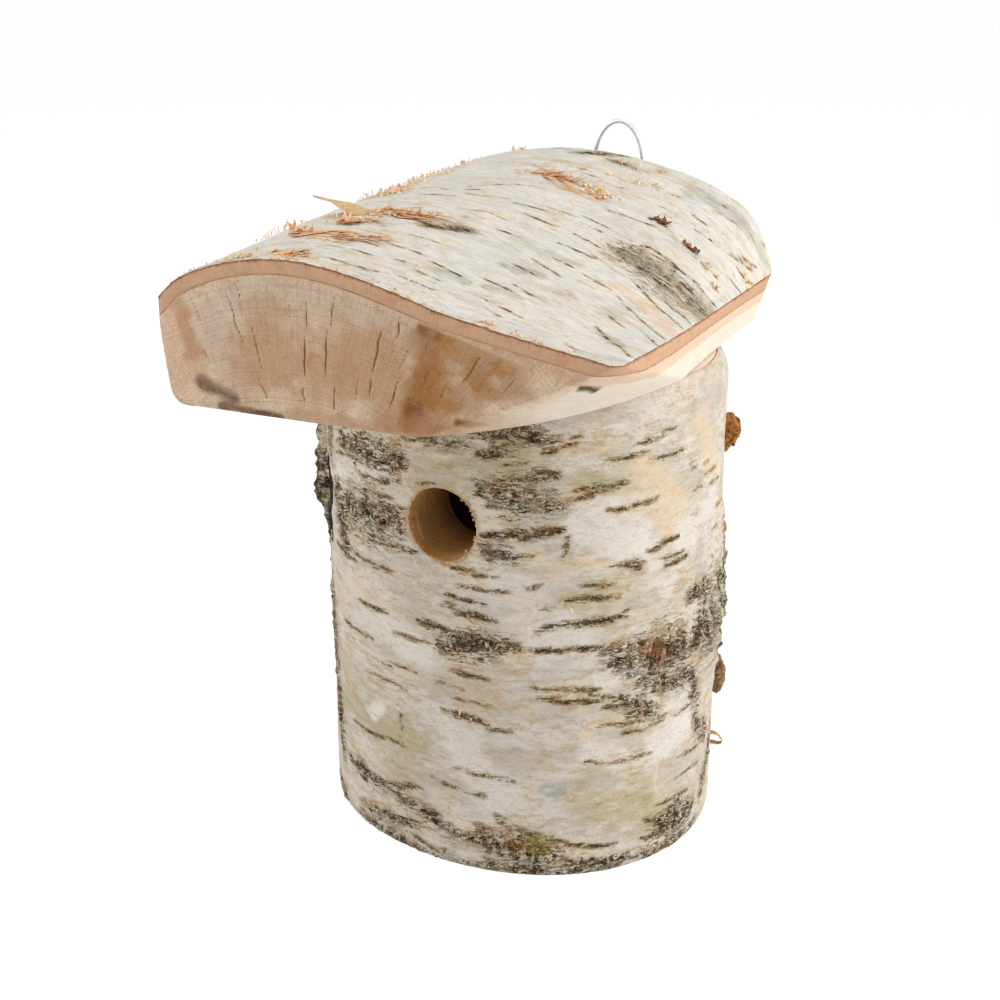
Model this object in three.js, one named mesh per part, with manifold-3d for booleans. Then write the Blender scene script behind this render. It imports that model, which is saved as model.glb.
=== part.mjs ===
// A bird nest box made of a hollowed birch log, with a swivelling roof cut from a thicker birch log.
// Millimetres, +Z up. The origin is on the log's axis at the level it stands on, and the entrance faces -Y.
import * as THREE from 'three';
import * as BufferGeometryUtils from 'three/addons/utils/BufferGeometryUtils.js';
import Module from 'manifold-3d';

const wasm = await Module();
wasm.setup();

// The log: a trunk section that isn't quite round, hollowed from above and closed by a floor below
const logDiameter = 179;
const logHeight = 217.5;
const logBarkThickness = 5;
const logOvalShare = 0.02;
const logOvalAngle = THREE.MathUtils.degToRad(-27);
const logLobeShare = 0.021;
const logLobeAngle = THREE.MathUtils.degToRad(-38);
const wallThickness = 39.5;
const entranceDiameter = 32;
const entranceHeight = 159;
const entranceOffset = -1.2;

// The plate of old bark that stands off the log's left side, from its lower end up to the top of the log
const oldPlateAngle = THREE.MathUtils.degToRad(-159.5);
const oldPlateWidth = 26;
const oldPlateBevel = 4;
const oldPlateFoot = 124;
const oldPlateStand = 5.2;

// The floor disc, let into the foot of the log against a shoulder
const floorThickness = 20;
const shoulderWidth = 15;
const drainHoleDiameter = 8;
const drainHoles = 4;
const drainCircleShare = 0.6;

// The countersunk screws of the floor
const floorScrews = 4;
const screwShankDiameter = 4;
const screwHeadDiameter = 8;
const screwHeadHeight = 2.6;
const screwHeadRim = 0.5;
const screwLength = 40;
const screwTipLength = 5;
const screwSinkDepth = 0.6;
const recessWidth = 1;
const recessSpan = 4.6;
const recessDepth = 1.6;

// The roof: a slab split off a thicker log, flat below and arched above
const roofFrontOverhang = 60;
const roofRightOverhang = 8.5;
const roofBackSetIn = 4.5;
const roofCrestHeight = 72;
const roofBarkThickness = 6;
const roofTaper = 10;
const roofSideBottomSetIn = 7;
const roofLeftLean = 4.5;
const roofLeftRounding = 9;
const cornerCutAcross = 70;
const cornerCutAlong = 115;
const cornerCutPullShare = 0.3;
const cornerCutTopShare = 0.05;
const cornerTaperShare = 0.3;
const frontLeftRounding = 4;
const backCornerRounding = 14;
const fullWidthHeight = 22;
const sharpCornerHeight = 34;

// The pin that the roof turns on
const pinDiameter = 8;
const pinLength = 70;
const pinChamfer = 1;
const pinAngle = THREE.MathUtils.degToRad(45);

// The hanger: a wire loop up the back of the log, its ends bent into the wood
const wireDiameter = 2.2;
const loopWidth = 24.5;
const loopHeight = 20;
const loopOffset = 6;
const hangerRise = 85;
const hangerDrop = 68;
const wireBendRadius = 6;
const wireEndDepth = 24;
const stapleWireDiameter = 1.6;
const stapleDrop = 26;
const stapleDepth = 17;

// Clearance between neighbouring pieces, and how far a cutter runs past what it cuts
const pieceGap = 0.3;
const overrun = 10;

// Fineness of the curved surfaces, in steps round or along
const logSteps = 48;
const roundSteps = 16;
const boreSteps = 36;
const archSteps = 30;
const archBays = 10;
const cornerSteps = 6;
const sideSteps = 6;
const wireSides = 8;
const wireSteps = 84;
const stapleSteps = 18;
const crownPoints = 8;

// Sizes that follow from the driving ones
const logRadius = logDiameter / 2;
const cavityDiameter = logDiameter - 2 * wallThickness;
const woodRadius = logRadius - logBarkThickness - pieceGap;
const seatRadius = cavityDiameter / 2 + shoulderWidth;
const roofUnderside = logHeight + pieceGap;
const roofLeft = -logRadius;
const roofRight = logRadius + roofRightOverhang;
const roofFront = -logRadius - roofFrontOverhang;
const roofBack = logRadius - roofBackSetIn;
const wireRadius = wireDiameter / 2;
const stapleRadius = stapleWireDiameter / 2;

// Materials
const logBarkFinish = new THREE.MeshStandardMaterial({ color: 0xe2dcd2, roughness: 0.85, metalness: 0 });
const roofBarkFinish = new THREE.MeshStandardMaterial({ color: 0xe8e4dc, roughness: 0.8, metalness: 0 });
const logWoodFinish = new THREE.MeshStandardMaterial({ color: 0xc79a68, roughness: 0.75, metalness: 0 });
const roofWoodFinish = new THREE.MeshStandardMaterial({ color: 0xd9b48c, roughness: 0.7, metalness: 0 });
const floorFinish = new THREE.MeshStandardMaterial({ color: 0xd8bd92, roughness: 0.75, metalness: 0 });
const galvanisedFinish = new THREE.MeshStandardMaterial({ color: 0xa9adb0, roughness: 0.4, metalness: 1 });
const screwFinish = new THREE.MeshStandardMaterial({ color: 0xc9b474, roughness: 0.35, metalness: 1 });
const pinFinish = new THREE.MeshStandardMaterial({ color: 0x9a9a9c, roughness: 0.3, metalness: 1 });

// A closed three.js geometry as a solid that can be cut and joined
function solid(geometry) {
  const plain = geometry.clone();
  plain.deleteAttribute('normal');
  plain.deleteAttribute('uv');
  const merged = BufferGeometryUtils.mergeVertices(plain);
  return new wasm.Manifold(new wasm.Mesh({
    numProp: 3,
    vertProperties: new Float32Array(merged.attributes.position.array),
    triVerts: new Uint32Array(merged.index.array),
  }));
}

// A named piece with its material
function piece(name, shape, material) {
  const result = shape.getMesh();
  const geometry = new THREE.BufferGeometry();
  geometry.setAttribute('position', new THREE.BufferAttribute(result.vertProperties, result.numProp));
  geometry.setIndex(new THREE.BufferAttribute(result.triVerts, 1));
  geometry.computeVertexNormals();
  const mesh = new THREE.Mesh(geometry, material);
  mesh.name = name;
  return mesh;
}

// A solid whose surface runs through rings of points that each turn anticlockwise about the way on
function skin(rings, flatten) {
  const count = rings[0].length;
  const faces = [];
  for (let ring = 1; ring < rings.length; ring += 1) {
    for (let i = 0; i < count; i += 1) {
      const near = (ring - 1) * count;
      const far = ring * count;
      const next = (i + 1) % count;
      faces.push(near + i, near + next, far + next);
      faces.push(near + i, far + next, far + i);
    }
  }
  const last = rings.length - 1;
  for (const [a, b, c] of THREE.ShapeUtils.triangulateShape(rings[0].map(flatten), [])) {
    faces.push(c, b, a);
  }
  for (const [a, b, c] of THREE.ShapeUtils.triangulateShape(rings[last].map(flatten), [])) {
    faces.push(last * count + a, last * count + b, last * count + c);
  }
  const geometry = new THREE.BufferGeometry();
  const positions = rings.flat().flatMap((point) => point.toArray());
  geometry.setAttribute('position', new THREE.Float32BufferAttribute(positions, 3));
  geometry.setIndex(faces);
  return solid(geometry);
}

const fromAbove = (point) => new THREE.Vector2(point.x, point.y);
const fromTheFront = (point) => new THREE.Vector2(point.x, point.z);

// A round bar from one height to another about a vertical axis
function upright(radius, bottom, top, steps = roundSteps) {
  const geometry = new THREE.CylinderGeometry(radius, radius, top - bottom, steps);
  geometry.rotateX(Math.PI / 2);
  geometry.translate(0, 0, (bottom + top) / 2);
  return solid(geometry);
}

// A round bar along Y
function level(radius, from, to, x, z, steps = roundSteps) {
  const geometry = new THREE.CylinderGeometry(radius, radius, to - from, steps);
  geometry.translate(x, (from + to) / 2, z);
  return solid(geometry);
}

// A wire of round section along a path
function wire(path, radius, sides, steps) {
  const section = new THREE.Shape();
  section.absarc(0, 0, radius, 0, Math.PI * 2);
  return solid(new THREE.ExtrudeGeometry(section, { curveSegments: sides / 2, steps, extrudePath: path }));
}

// The radius of the log over its bark, a little oval and swelling in three flat lobes
function barkRadiusAt(angle) {
  const oval = logOvalShare * Math.cos(2 * (angle - logOvalAngle));
  const lobes = logLobeShare * Math.cos(3 * (angle - logLobeAngle));
  return logRadius * (1 + oval + lobes);
}

// The log's section, set in by a depth, between two heights
function trunk(setIn, bottom, top) {
  const ring = (height) => Array.from({ length: logSteps }, (_, i) => {
    const angle = (i / logSteps) * Math.PI * 2;
    const radius = barkRadiusAt(angle) - setIn;
    return new THREE.Vector3(radius * Math.cos(angle), radius * Math.sin(angle), height);
  });
  return skin([ring(bottom), ring(top)], fromAbove);
}

// Places spread evenly on a circle
function ringOfPlaces(count, radius, firstAngle) {
  return Array.from({ length: count }, (_, i) => {
    const angle = firstAngle + (i / count) * Math.PI * 2;
    return new THREE.Vector2(radius * Math.cos(angle), radius * Math.sin(angle));
  });
}

// The hanger's wire: in from the wood, up the back, over the loop and down again
const wireY = barkRadiusAt(Math.PI / 2) + pieceGap + wireRadius;
const hangerFoot = logHeight - hangerDrop;
const loopSpring = logHeight + hangerRise - loopHeight;
const legPlaces = [loopOffset - loopWidth / 2, loopOffset + loopWidth / 2];
const wireEndY = wireY - wireEndDepth - logBarkThickness;

function hangerPath() {
  const [left, right] = legPlaces;
  const bendStart = wireY - wireBendRadius;
  const bendEnd = hangerFoot + wireBendRadius;
  const at = (x, y, z) => new THREE.Vector3(x, y, z);
  const crown = new THREE.CatmullRomCurve3(Array.from({ length: crownPoints + 1 }, (_, i) => {
    const turn = Math.PI * (1 - i / crownPoints);
    const across = (loopWidth / 2) * Math.cos(turn);
    return at(loopOffset + across, wireY, loopSpring + loopHeight * Math.sin(turn));
  }));
  const path = new THREE.CurvePath();
  path.add(new THREE.LineCurve3(at(left, wireEndY, hangerFoot), at(left, bendStart, hangerFoot)));
  path.add(new THREE.QuadraticBezierCurve3(
    at(left, bendStart, hangerFoot), at(left, wireY, hangerFoot), at(left, wireY, bendEnd)));
  path.add(new THREE.LineCurve3(at(left, wireY, bendEnd), at(left, wireY, loopSpring)));
  path.add(crown);
  path.add(new THREE.LineCurve3(at(right, wireY, loopSpring), at(right, wireY, bendEnd)));
  path.add(new THREE.QuadraticBezierCurve3(
    at(right, wireY, bendEnd), at(right, wireY, hangerFoot), at(right, bendStart, hangerFoot)));
  path.add(new THREE.LineCurve3(at(right, bendStart, hangerFoot), at(right, wireEndY, hangerFoot)));
  return path;
}

// The staples: each bridges one leg of the wire and is driven into the log
const stapleHeight = logHeight - stapleDrop;
const stapleReach = wireRadius + pieceGap + stapleRadius;
const stapleEndY = wireY - stapleDepth;

function staplePath(x) {
  const path = new THREE.CurvePath();
  const at = (dx, y) => new THREE.Vector3(x + dx, y, stapleHeight);
  const crown = new THREE.CatmullRomCurve3(Array.from({ length: crownPoints + 1 }, (_, i) => {
    const turn = Math.PI * (1 - i / crownPoints);
    return at(stapleReach * Math.cos(turn), wireY + stapleReach * Math.sin(turn));
  }));
  path.add(new THREE.LineCurve3(at(-stapleReach, stapleEndY), at(-stapleReach, wireY)));
  path.add(crown);
  path.add(new THREE.LineCurve3(at(stapleReach, wireY), at(stapleReach, stapleEndY)));
  return path;
}

// The holes that the wire ends and the staples are driven into, and the groove of the wire's bends
function hangerHoles() {
  const outside = wireY + overrun;
  const holes = [wire(hangerPath(), wireRadius + pieceGap, wireSides, wireSteps)];
  for (const x of legPlaces) {
    holes.push(level(wireRadius + pieceGap, wireEndY - pieceGap, wireY, x, hangerFoot));
    for (const side of [-stapleReach, stapleReach]) {
      holes.push(level(stapleRadius + pieceGap, stapleEndY - pieceGap, outside, x + side, stapleHeight));
    }
  }
  return holes;
}

// The floor's screws, their places and their shape, grown by a clearance for the holes
const screwCircle = (cavityDiameter / 2 + seatRadius) / 2;
const screwPlaces = ringOfPlaces(floorScrews, screwCircle, Math.PI / floorScrews);

function screwShape(clearance, headRoom) {
  const head = screwHeadDiameter / 2 + clearance;
  const shank = screwShankDiameter / 2 + clearance;
  const bottom = screwSinkDepth - headRoom;
  const end = screwSinkDepth + screwLength + clearance;
  const profile = [
    new THREE.Vector2(0, bottom),
    new THREE.Vector2(head, bottom),
    new THREE.Vector2(head, screwSinkDepth + screwHeadRim + clearance),
    new THREE.Vector2(shank, screwSinkDepth + screwHeadHeight + clearance),
    new THREE.Vector2(shank, end - screwTipLength),
    new THREE.Vector2(0, end),
  ];
  const geometry = new THREE.LatheGeometry(profile, roundSteps);
  geometry.rotateX(Math.PI / 2);
  return solid(geometry);
}

function screwRecess() {
  const slot = new THREE.BoxGeometry(recessSpan, recessWidth, recessDepth + overrun);
  slot.translate(0, 0, screwSinkDepth + recessDepth - (recessDepth + overrun) / 2);
  const across = slot.clone().rotateZ(Math.PI / 2);
  return solid(slot).add(solid(across));
}

// The pin that the roof turns on, in the thick of the log's wall
const pinCircle = (cavityDiameter / 2 + woodRadius) / 2;
const pinPlace = new THREE.Vector3(
  pinCircle * Math.cos(pinAngle), pinCircle * Math.sin(pinAngle), logHeight);

function pinShape() {
  const radius = pinDiameter / 2;
  const half = pinLength / 2;
  const profile = [
    new THREE.Vector2(0, -half),
    new THREE.Vector2(radius - pinChamfer, -half),
    new THREE.Vector2(radius, -half + pinChamfer),
    new THREE.Vector2(radius, half - pinChamfer),
    new THREE.Vector2(radius - pinChamfer, half),
    new THREE.Vector2(0, half),
  ];
  const geometry = new THREE.LatheGeometry(profile, roundSteps);
  geometry.rotateX(Math.PI / 2);
  return solid(geometry);
}

function pinHole() {
  const half = pinLength / 2 + pieceGap;
  return upright(pinDiameter / 2 + pieceGap, -half, half).translate(pinPlace.toArray());
}

// The log's wood: the hollow, the entrance, the seat of the floor and the holes of what is driven in
function logBody() {
  let shape = trunk(logBarkThickness + pieceGap, 0, logHeight);
  const cavityTop = logHeight + overrun;
  shape = shape.subtract(upright(cavityDiameter / 2, floorThickness - overrun, cavityTop, logSteps));
  shape = shape.subtract(upright(seatRadius, -overrun, floorThickness, logSteps));
  shape = shape.subtract(entranceBore());
  for (const place of screwPlaces) {
    shape = shape.subtract(screwShape(pieceGap, 0).translate([place.x, place.y, 0]));
  }
  for (const hole of [...hangerHoles(), pinHole()]) {
    shape = shape.subtract(hole);
  }
  return shape;
}

function entranceBore() {
  return level(entranceDiameter / 2, -logDiameter, 0, entranceOffset, entranceHeight, boreSteps);
}

// How far up the plate of old bark, and how far it stands out there
const oldPlateShares = [
  [0, 0.08], [0.13, 0.33], [0.19, 0.8], [0.26, 1], [0.36, 0.9],
  [0.49, 0.68], [0.65, 0.7], [0.86, 0.6], [1, 0.4],
];

function oldPlate() {
  const half = oldPlateWidth / 2;
  const crown = half - oldPlateBevel;
  const at = (along, stand, height) => {
    const angle = oldPlateAngle + along / logRadius;
    const radius = barkRadiusAt(angle) + stand;
    return new THREE.Vector3(radius * Math.cos(angle), radius * Math.sin(angle), height);
  };
  const rings = oldPlateShares.map(([up, out]) => {
    const height = oldPlateFoot + (logHeight - oldPlateFoot) * up;
    const outer = [-crown, 0, crown].map((along) => at(along, oldPlateStand * out, height));
    const inner = [half, 0, -half].map((along) => at(along, -logBarkThickness / 2, height));
    return [...outer, ...inner];
  });
  return skin(rings, fromAbove);
}

// The bark that the log kept
function logBark() {
  let shape = trunk(0, 0, logHeight).add(oldPlate());
  shape = shape.subtract(trunk(logBarkThickness, -overrun, logHeight + overrun));
  shape = shape.subtract(entranceBore());
  for (const hole of hangerHoles()) {
    shape = shape.subtract(hole);
  }
  return shape;
}

// The floor disc with its drain holes and the countersunk holes of its screws
function floorDisc() {
  let shape = upright(seatRadius - pieceGap, 0, floorThickness - pieceGap, logSteps);
  const drainCircle = (cavityDiameter / 2) * drainCircleShare;
  for (const place of ringOfPlaces(drainHoles, drainCircle, 0)) {
    const hole = upright(drainHoleDiameter / 2, -overrun, floorThickness + overrun);
    shape = shape.subtract(hole.translate([place.x, place.y, 0]));
  }
  for (const place of screwPlaces) {
    shape = shape.subtract(screwShape(pieceGap, overrun).translate([place.x, place.y, 0]));
  }
  return shape;
}

// Profiles of the arch at the front, halfway along and at the back: across the width, and up to the crest
const frontArchShares = [
  [-0.06, 0.44], [0, 0.565], [0.05, 0.675], [0.12, 0.76], [0.2, 0.815], [0.3, 0.843],
  [0.4, 0.823], [0.49, 0.775], [0.57, 0.717], [0.65, 0.657], [0.73, 0.615], [0.81, 0.576],
  [0.88, 0.544], [0.95, 0.513], [1, 0.49], [1.06, 0.465],
];
const middleArchShares = [
  [-0.06, 0.5], [0, 0.625], [0.05, 0.745], [0.12, 0.84], [0.2, 0.895], [0.3, 0.925],
  [0.4, 0.92], [0.49, 0.88], [0.57, 0.825], [0.65, 0.76], [0.73, 0.68], [0.81, 0.59],
  [0.88, 0.485], [0.95, 0.37], [1, 0.29], [1.06, 0.2],
];
const backArchShares = [
  [-0.06, 0.47], [0, 0.64], [0.05, 0.76], [0.12, 0.865], [0.2, 0.93], [0.3, 0.978],
  [0.4, 1], [0.49, 0.988], [0.57, 0.96], [0.65, 0.914], [0.73, 0.855], [0.81, 0.765],
  [0.88, 0.63], [0.95, 0.3], [1, 0.1], [1.06, -0.1],
];

// One profile of the arch as even steps of a smooth curve from right to left, set in by a depth
function archProfile(shares, setIn) {
  const width = roofRight - roofLeft;
  const points = shares.map(([across, up]) => new THREE.Vector2(
    roofLeft + across * width, roofUnderside + up * roofCrestHeight));
  const curve = new THREE.SplineCurve(points.reverse());
  return Array.from({ length: archSteps + 1 }, (_, i) => {
    const tangent = curve.getTangent(i / archSteps);
    const inward = new THREE.Vector2(-tangent.y, tangent.x);
    return curve.getPoint(i / archSteps).addScaledVector(inward, setIn);
  });
}

// Everything under the arch, from behind the back to before the front, set in by a depth
function archSolid(setIn) {
  const places = [roofBack, (roofFront + roofBack) / 2, roofFront];
  const profiles = [backArchShares, middleArchShares, frontArchShares].map((s) => archProfile(s, setIn));
  const strands = profiles[0].map((_, i) => new THREE.CatmullRomCurve3(
    profiles.map((profile, k) => new THREE.Vector3(profile[i].x, places[k], profile[i].y))));
  const below = roofUnderside - roofCrestHeight / 2;
  const ring = (turn, shift) => {
    const top = strands.map((strand) => strand.getPoint(turn));
    const along = places[0] + (places[2] - places[0]) * turn + shift;
    const points = [
      new THREE.Vector3(top[archSteps].x, 0, below), new THREE.Vector3(top[0].x, 0, below), ...top];
    return points.map((point) => point.setY(along));
  };
  const bays = Array.from({ length: archBays + 1 }, (_, bay) => ring(bay / archBays, 0));
  return skin([ring(0, overrun), ...bays, ring(1, -overrun)], fromTheFront);
}

// The roof's plan at a height over its underside: the corner over the entrance is cut wide and round at
// the underside and nearly sharp in the bark
function roofPlan(rise) {
  const setIn = roofSideBottomSetIn * Math.max(0, 1 - rise / fullWidthHeight);
  const cut = 1 - (1 - cornerCutTopShare) * Math.min(1, rise / sharpCornerHeight);
  const frontRight = roofRight - setIn;
  const backRight = frontRight - roofTaper;
  const cutTaper = roofTaper * (1 - cornerTaperShare) * cut;
  const at = (x, y) => new THREE.Vector3(x, y, roofUnderside + rise);
  const cornerStart = at(frontRight - cornerCutAcross * cut, roofFront);
  const cornerEnd = at(frontRight - cutTaper, roofFront + cornerCutAlong * cut);
  const pulled = at(frontRight, roofFront).lerp(at(cornerStart.x, cornerEnd.y), cornerCutPullShare);
  const sideEnd = at(backRight, roofBack - backCornerRounding);
  const sideControl = at(backRight, (cornerEnd.y + sideEnd.y) / 2);
  const backStart = at(backRight - backCornerRounding, roofBack);
  const backEnd = at(roofLeft + backCornerRounding, roofBack);
  const leftStart = at(roofLeft, roofBack - backCornerRounding);
  const leftEnd = at(roofLeft, roofFront + frontLeftRounding);
  const frontStart = at(roofLeft + frontLeftRounding, roofFront);
  const corner = new THREE.QuadraticBezierCurve3(cornerStart, pulled, cornerEnd);
  const rest = [
    new THREE.QuadraticBezierCurve3(cornerEnd, sideControl, sideEnd),
    new THREE.QuadraticBezierCurve3(sideEnd, at(backRight, roofBack), backStart),
    new THREE.LineCurve3(backStart, backEnd),
    new THREE.QuadraticBezierCurve3(backEnd, at(roofLeft, roofBack), leftStart),
    new THREE.LineCurve3(leftStart, leftEnd),
    new THREE.QuadraticBezierCurve3(leftEnd, at(roofLeft, roofFront), frontStart),
    new THREE.LineCurve3(frontStart, cornerStart),
  ].flatMap((curve) => curve.getPoints(cornerSteps).slice(0, -1));
  return [...corner.getPoints(2 * cornerSteps).slice(0, -1), ...rest];
}

// The block that the roof is sawn to, before its top is arched
function roofBlock() {
  const topRise = roofCrestHeight + overrun;
  const rings = Array.from(
    { length: sideSteps + 1 }, (_, i) => roofPlan(i / sideSteps * sharpCornerHeight));
  return skin([...rings, roofPlan(topRise)], fromAbove).intersect(leftSide(roofUnderside + topRise));
}

// What the leaning left side leaves, with its rounded lower edge
function leftSide(top) {
  const bottomLeft = roofLeft + roofLeftLean;
  const side = new THREE.Shape();
  side.moveTo(roofRight + overrun, roofUnderside);
  side.lineTo(roofRight + overrun, top + overrun);
  side.lineTo(roofLeft, top + overrun);
  side.lineTo(roofLeft, roofUnderside + roofCrestHeight / 2);
  side.lineTo(bottomLeft, roofUnderside + roofLeftRounding);
  side.quadraticCurveTo(bottomLeft, roofUnderside, bottomLeft + roofLeftRounding, roofUnderside);
  const length = roofBack - roofFront + 2 * overrun;
  const geometry = new THREE.ExtrudeGeometry(
    side, { depth: length, bevelEnabled: false, curveSegments: cornerSteps });
  geometry.rotateX(Math.PI / 2);
  geometry.translate(0, roofBack + overrun, 0);
  return solid(geometry);
}

function roofBark() {
  return roofBlock().intersect(archSolid(0).subtract(archSolid(roofBarkThickness)));
}

function roofSlab() {
  return roofBlock().intersect(archSolid(roofBarkThickness + pieceGap)).subtract(pinHole());
}

// The log and all that is fixed to it
const log = new THREE.Group();
log.add(piece('log_body', logBody(), logWoodFinish));
log.add(piece('log_bark', logBark(), logBarkFinish));
log.add(piece('floor_disc', floorDisc(), floorFinish));
screwPlaces.forEach((place, i) => {
  const screw = piece(`floor_screw_${i + 1}`, screwShape(0, 0).subtract(screwRecess()), screwFinish);
  screw.position.set(place.x, place.y, 0);
  log.add(screw);
});
const pin = piece('roof_pivot_pin', pinShape(), pinFinish);
pin.position.copy(pinPlace);
log.add(pin);
log.add(piece('hanger_wire', wire(hangerPath(), wireRadius, wireSides, wireSteps), galvanisedFinish));
['left', 'right'].forEach((side, i) => {
  const shape = wire(staplePath(legPlaces[i]), stapleRadius, wireSides, stapleSteps);
  log.add(piece(`hanger_staple_${side}`, shape, galvanisedFinish));
});

// The roof, which turns on the pin
const roof = new THREE.Group();
roof.add(piece('roof_slab', roofSlab(), roofWoodFinish));
roof.add(piece('roof_bark', roofBark(), roofBarkFinish));

const nestBox = new THREE.Group();
nestBox.add(log, roof);

export default nestBox;
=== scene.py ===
import math

import bpy
import bmesh
import numpy as np
from mathutils import Matrix


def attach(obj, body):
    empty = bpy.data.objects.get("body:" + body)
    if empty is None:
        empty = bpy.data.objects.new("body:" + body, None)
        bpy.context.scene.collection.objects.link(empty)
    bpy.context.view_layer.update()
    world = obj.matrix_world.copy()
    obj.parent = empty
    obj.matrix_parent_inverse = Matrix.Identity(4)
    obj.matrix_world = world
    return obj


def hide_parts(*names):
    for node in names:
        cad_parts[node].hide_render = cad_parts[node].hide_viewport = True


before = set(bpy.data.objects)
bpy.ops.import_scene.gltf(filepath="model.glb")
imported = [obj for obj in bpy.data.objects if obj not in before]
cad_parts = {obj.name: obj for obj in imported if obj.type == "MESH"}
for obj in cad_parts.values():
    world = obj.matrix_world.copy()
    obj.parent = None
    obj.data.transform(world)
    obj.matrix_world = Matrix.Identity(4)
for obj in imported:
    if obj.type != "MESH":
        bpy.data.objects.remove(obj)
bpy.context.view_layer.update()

# The camera, at the photograph's viewing angle: right of the entrance and above the roof's crest.
# Its lens and place were worked out from the outlines of the log and the roof.
camera_data = bpy.data.cameras.new("camera")
camera_data.sensor_fit = "HORIZONTAL"
camera_data.sensor_width = 36
camera_data.lens = 59.4
camera = bpy.data.objects.new("camera", camera_data)
bpy.context.scene.collection.objects.link(camera)
camera_place = (0.2848, -0.6525, 0.3998)
rightwards = (0.90916, 0.41644, 0)
upwards = (-0.14202, 0.31006, 0.94005)
backwards = (0.39147, -0.85466, 0.34104)
camera.matrix_world = Matrix([*zip(rightwards, upwards, backwards, camera_place), (0, 0, 0, 1)])
bpy.context.scene.camera = camera

# The log's wood: a length of birch trunk, bored out from above and from the front.
# The ends are sawn and the walls are left rough from the borer.
mm = 0.001
mean_radius = 89.5
log_height = 217.5
log_bark_depth = 5
gap = 0.3
cavity_radius = 50
seat_radius = 65
floor_depth = 20
entrance = (-1.2, 159)
entrance_radius = 16


def log_radius(angle):
    """Radius over the bark in mm: a circle, a little oval and swelling in three flat lobes."""
    oval = 0.02 * np.cos(2 * (angle + math.radians(27)))
    lobes = 0.021 * np.cos(3 * (angle + math.radians(38)))
    return mean_radius * (1 + oval + lobes)


def lattice_noise(points, seed):
    """A random number from -1 to 1 at every whole corner of space, blended smoothly between corners."""
    cell = np.floor(points).astype(np.int64)
    part = points - cell
    ease = part ** 3 * (part * (part * 6 - 15) + 10)
    total = np.zeros(points.shape[:-1])
    for corner in range(8):
        offset = np.array([corner & 1, corner >> 1 & 1, corner >> 2 & 1])
        x, y, z = np.moveaxis(cell + offset, -1, 0)
        key = (x * 374761393 + y * 668265263 + z * 1440662683 + seed * 1274126177) & 0xFFFFFFFF
        key = ((key ^ (key >> 13)) * 1274126177) & 0xFFFFFFFF
        key = (key ^ (key >> 16)) & 0xFFFF
        total += np.prod(np.where(offset == 1, ease, 1 - ease), axis=-1) * key
    return total / 32767.5 - 1


def cloud(points, size, seed, octaves=4):
    """Noise of several sizes, each half as large and half as strong as the last. size may differ by axis."""
    scaled = points / np.asarray(size, float)
    return sum(lattice_noise(scaled * 2 ** k + 17.3 * k, seed + k) / 2 ** k for k in range(octaves))


def loop_faces(lower, upper):
    """Quads between two closed rings with as many vertices each."""
    return np.column_stack([lower, np.roll(lower, -1), np.roll(upper, -1), upper])


def grid_faces(numbers, closed=False):
    """Quads over tables of vertex numbers, joined up at their sides if closed."""
    if closed:
        numbers = np.concatenate([numbers, numbers[..., :1]], axis=-1)
    low, high = numbers[..., :-1, :], numbers[..., 1:, :]
    return np.stack([low[..., :-1], low[..., 1:], high[..., 1:], high[..., :-1]], axis=-1).reshape(-1, 4)


def border_of(faces):
    """The edges that only one of a table of quads has, as pairs of vertex numbers."""
    edges = np.concatenate([faces[:, [i, (i + 1) % 4]] for i in range(4)])
    keys, counts = np.unique(np.sort(edges, axis=1), axis=0, return_counts=True)
    return keys[counts == 1]


def zip_rings(outer, outer_place, inner, inner_place):
    """Triangles between two closed rings of vertex numbers, by the places from 0 to 1 round them."""
    following = np.append(outer_place[1:], outer_place[0] + 1)
    middle = (outer_place + following) / 2
    near = np.searchsorted(inner_place, middle) - 1
    first = np.column_stack([outer, np.roll(outer, -1), inner[near % len(inner)]])
    turn = np.searchsorted(middle, inner_place) % len(outer)
    second = np.column_stack([inner, np.roll(inner, 1), outer[turn]])
    return np.concatenate([first, second])


def build_mesh(name, points, faces, materials, face_material=None, marks=None, sharp=40):
    """A mesh object from points in mm and a list of face tables, with per-point colours as attributes."""
    points = np.asarray(points, np.float32) * mm
    loops = np.concatenate([table.ravel() for table in faces]).astype(np.int32)
    sizes = np.concatenate([np.full(len(table), table.shape[1]) for table in faces])
    mesh = bpy.data.meshes.new(name)
    mesh.vertices.add(len(points))
    mesh.vertices.foreach_set("co", points.ravel())
    mesh.loops.add(len(loops))
    mesh.loops.foreach_set("vertex_index", loops)
    mesh.polygons.add(len(sizes))
    mesh.polygons.foreach_set("loop_start", np.concatenate([[0], np.cumsum(sizes)[:-1]]).astype(np.int32))
    for key, values in (marks or {}).items():
        attribute = mesh.attributes.new(key, "FLOAT_COLOR", "POINT")
        attribute.data.foreach_set("color", np.asarray(values, np.float32).ravel())
    for material in materials:
        mesh.materials.append(material)
    if face_material is not None:
        kinds = np.concatenate([np.full(len(t), k) for t, k in zip(faces, face_material)])
        mesh.polygons.foreach_set("material_index", kinds.astype(np.int32))
    mesh.update(calc_edges=True)
    mesh.validate()
    work = bmesh.new()
    work.from_mesh(mesh)
    bmesh.ops.recalc_face_normals(work, faces=work.faces)
    work.to_mesh(mesh)
    work.free()
    mesh.polygons.foreach_set("use_smooth", np.ones(len(mesh.polygons), bool))
    mesh.set_sharp_from_angle(angle=math.radians(sharp))
    made = bpy.data.objects.new(name, mesh)
    bpy.context.scene.collection.objects.link(made)
    return made


def paint(red, green, blue):
    """A colour as read off a screen, from 0 to 255, turned into the linear values that shaders take."""
    part = np.array([red, green, blue]) / 255
    return (*np.where(part <= 0.04045, part / 12.92, ((part + 0.055) / 1.055) ** 2.4), 1)


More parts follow.
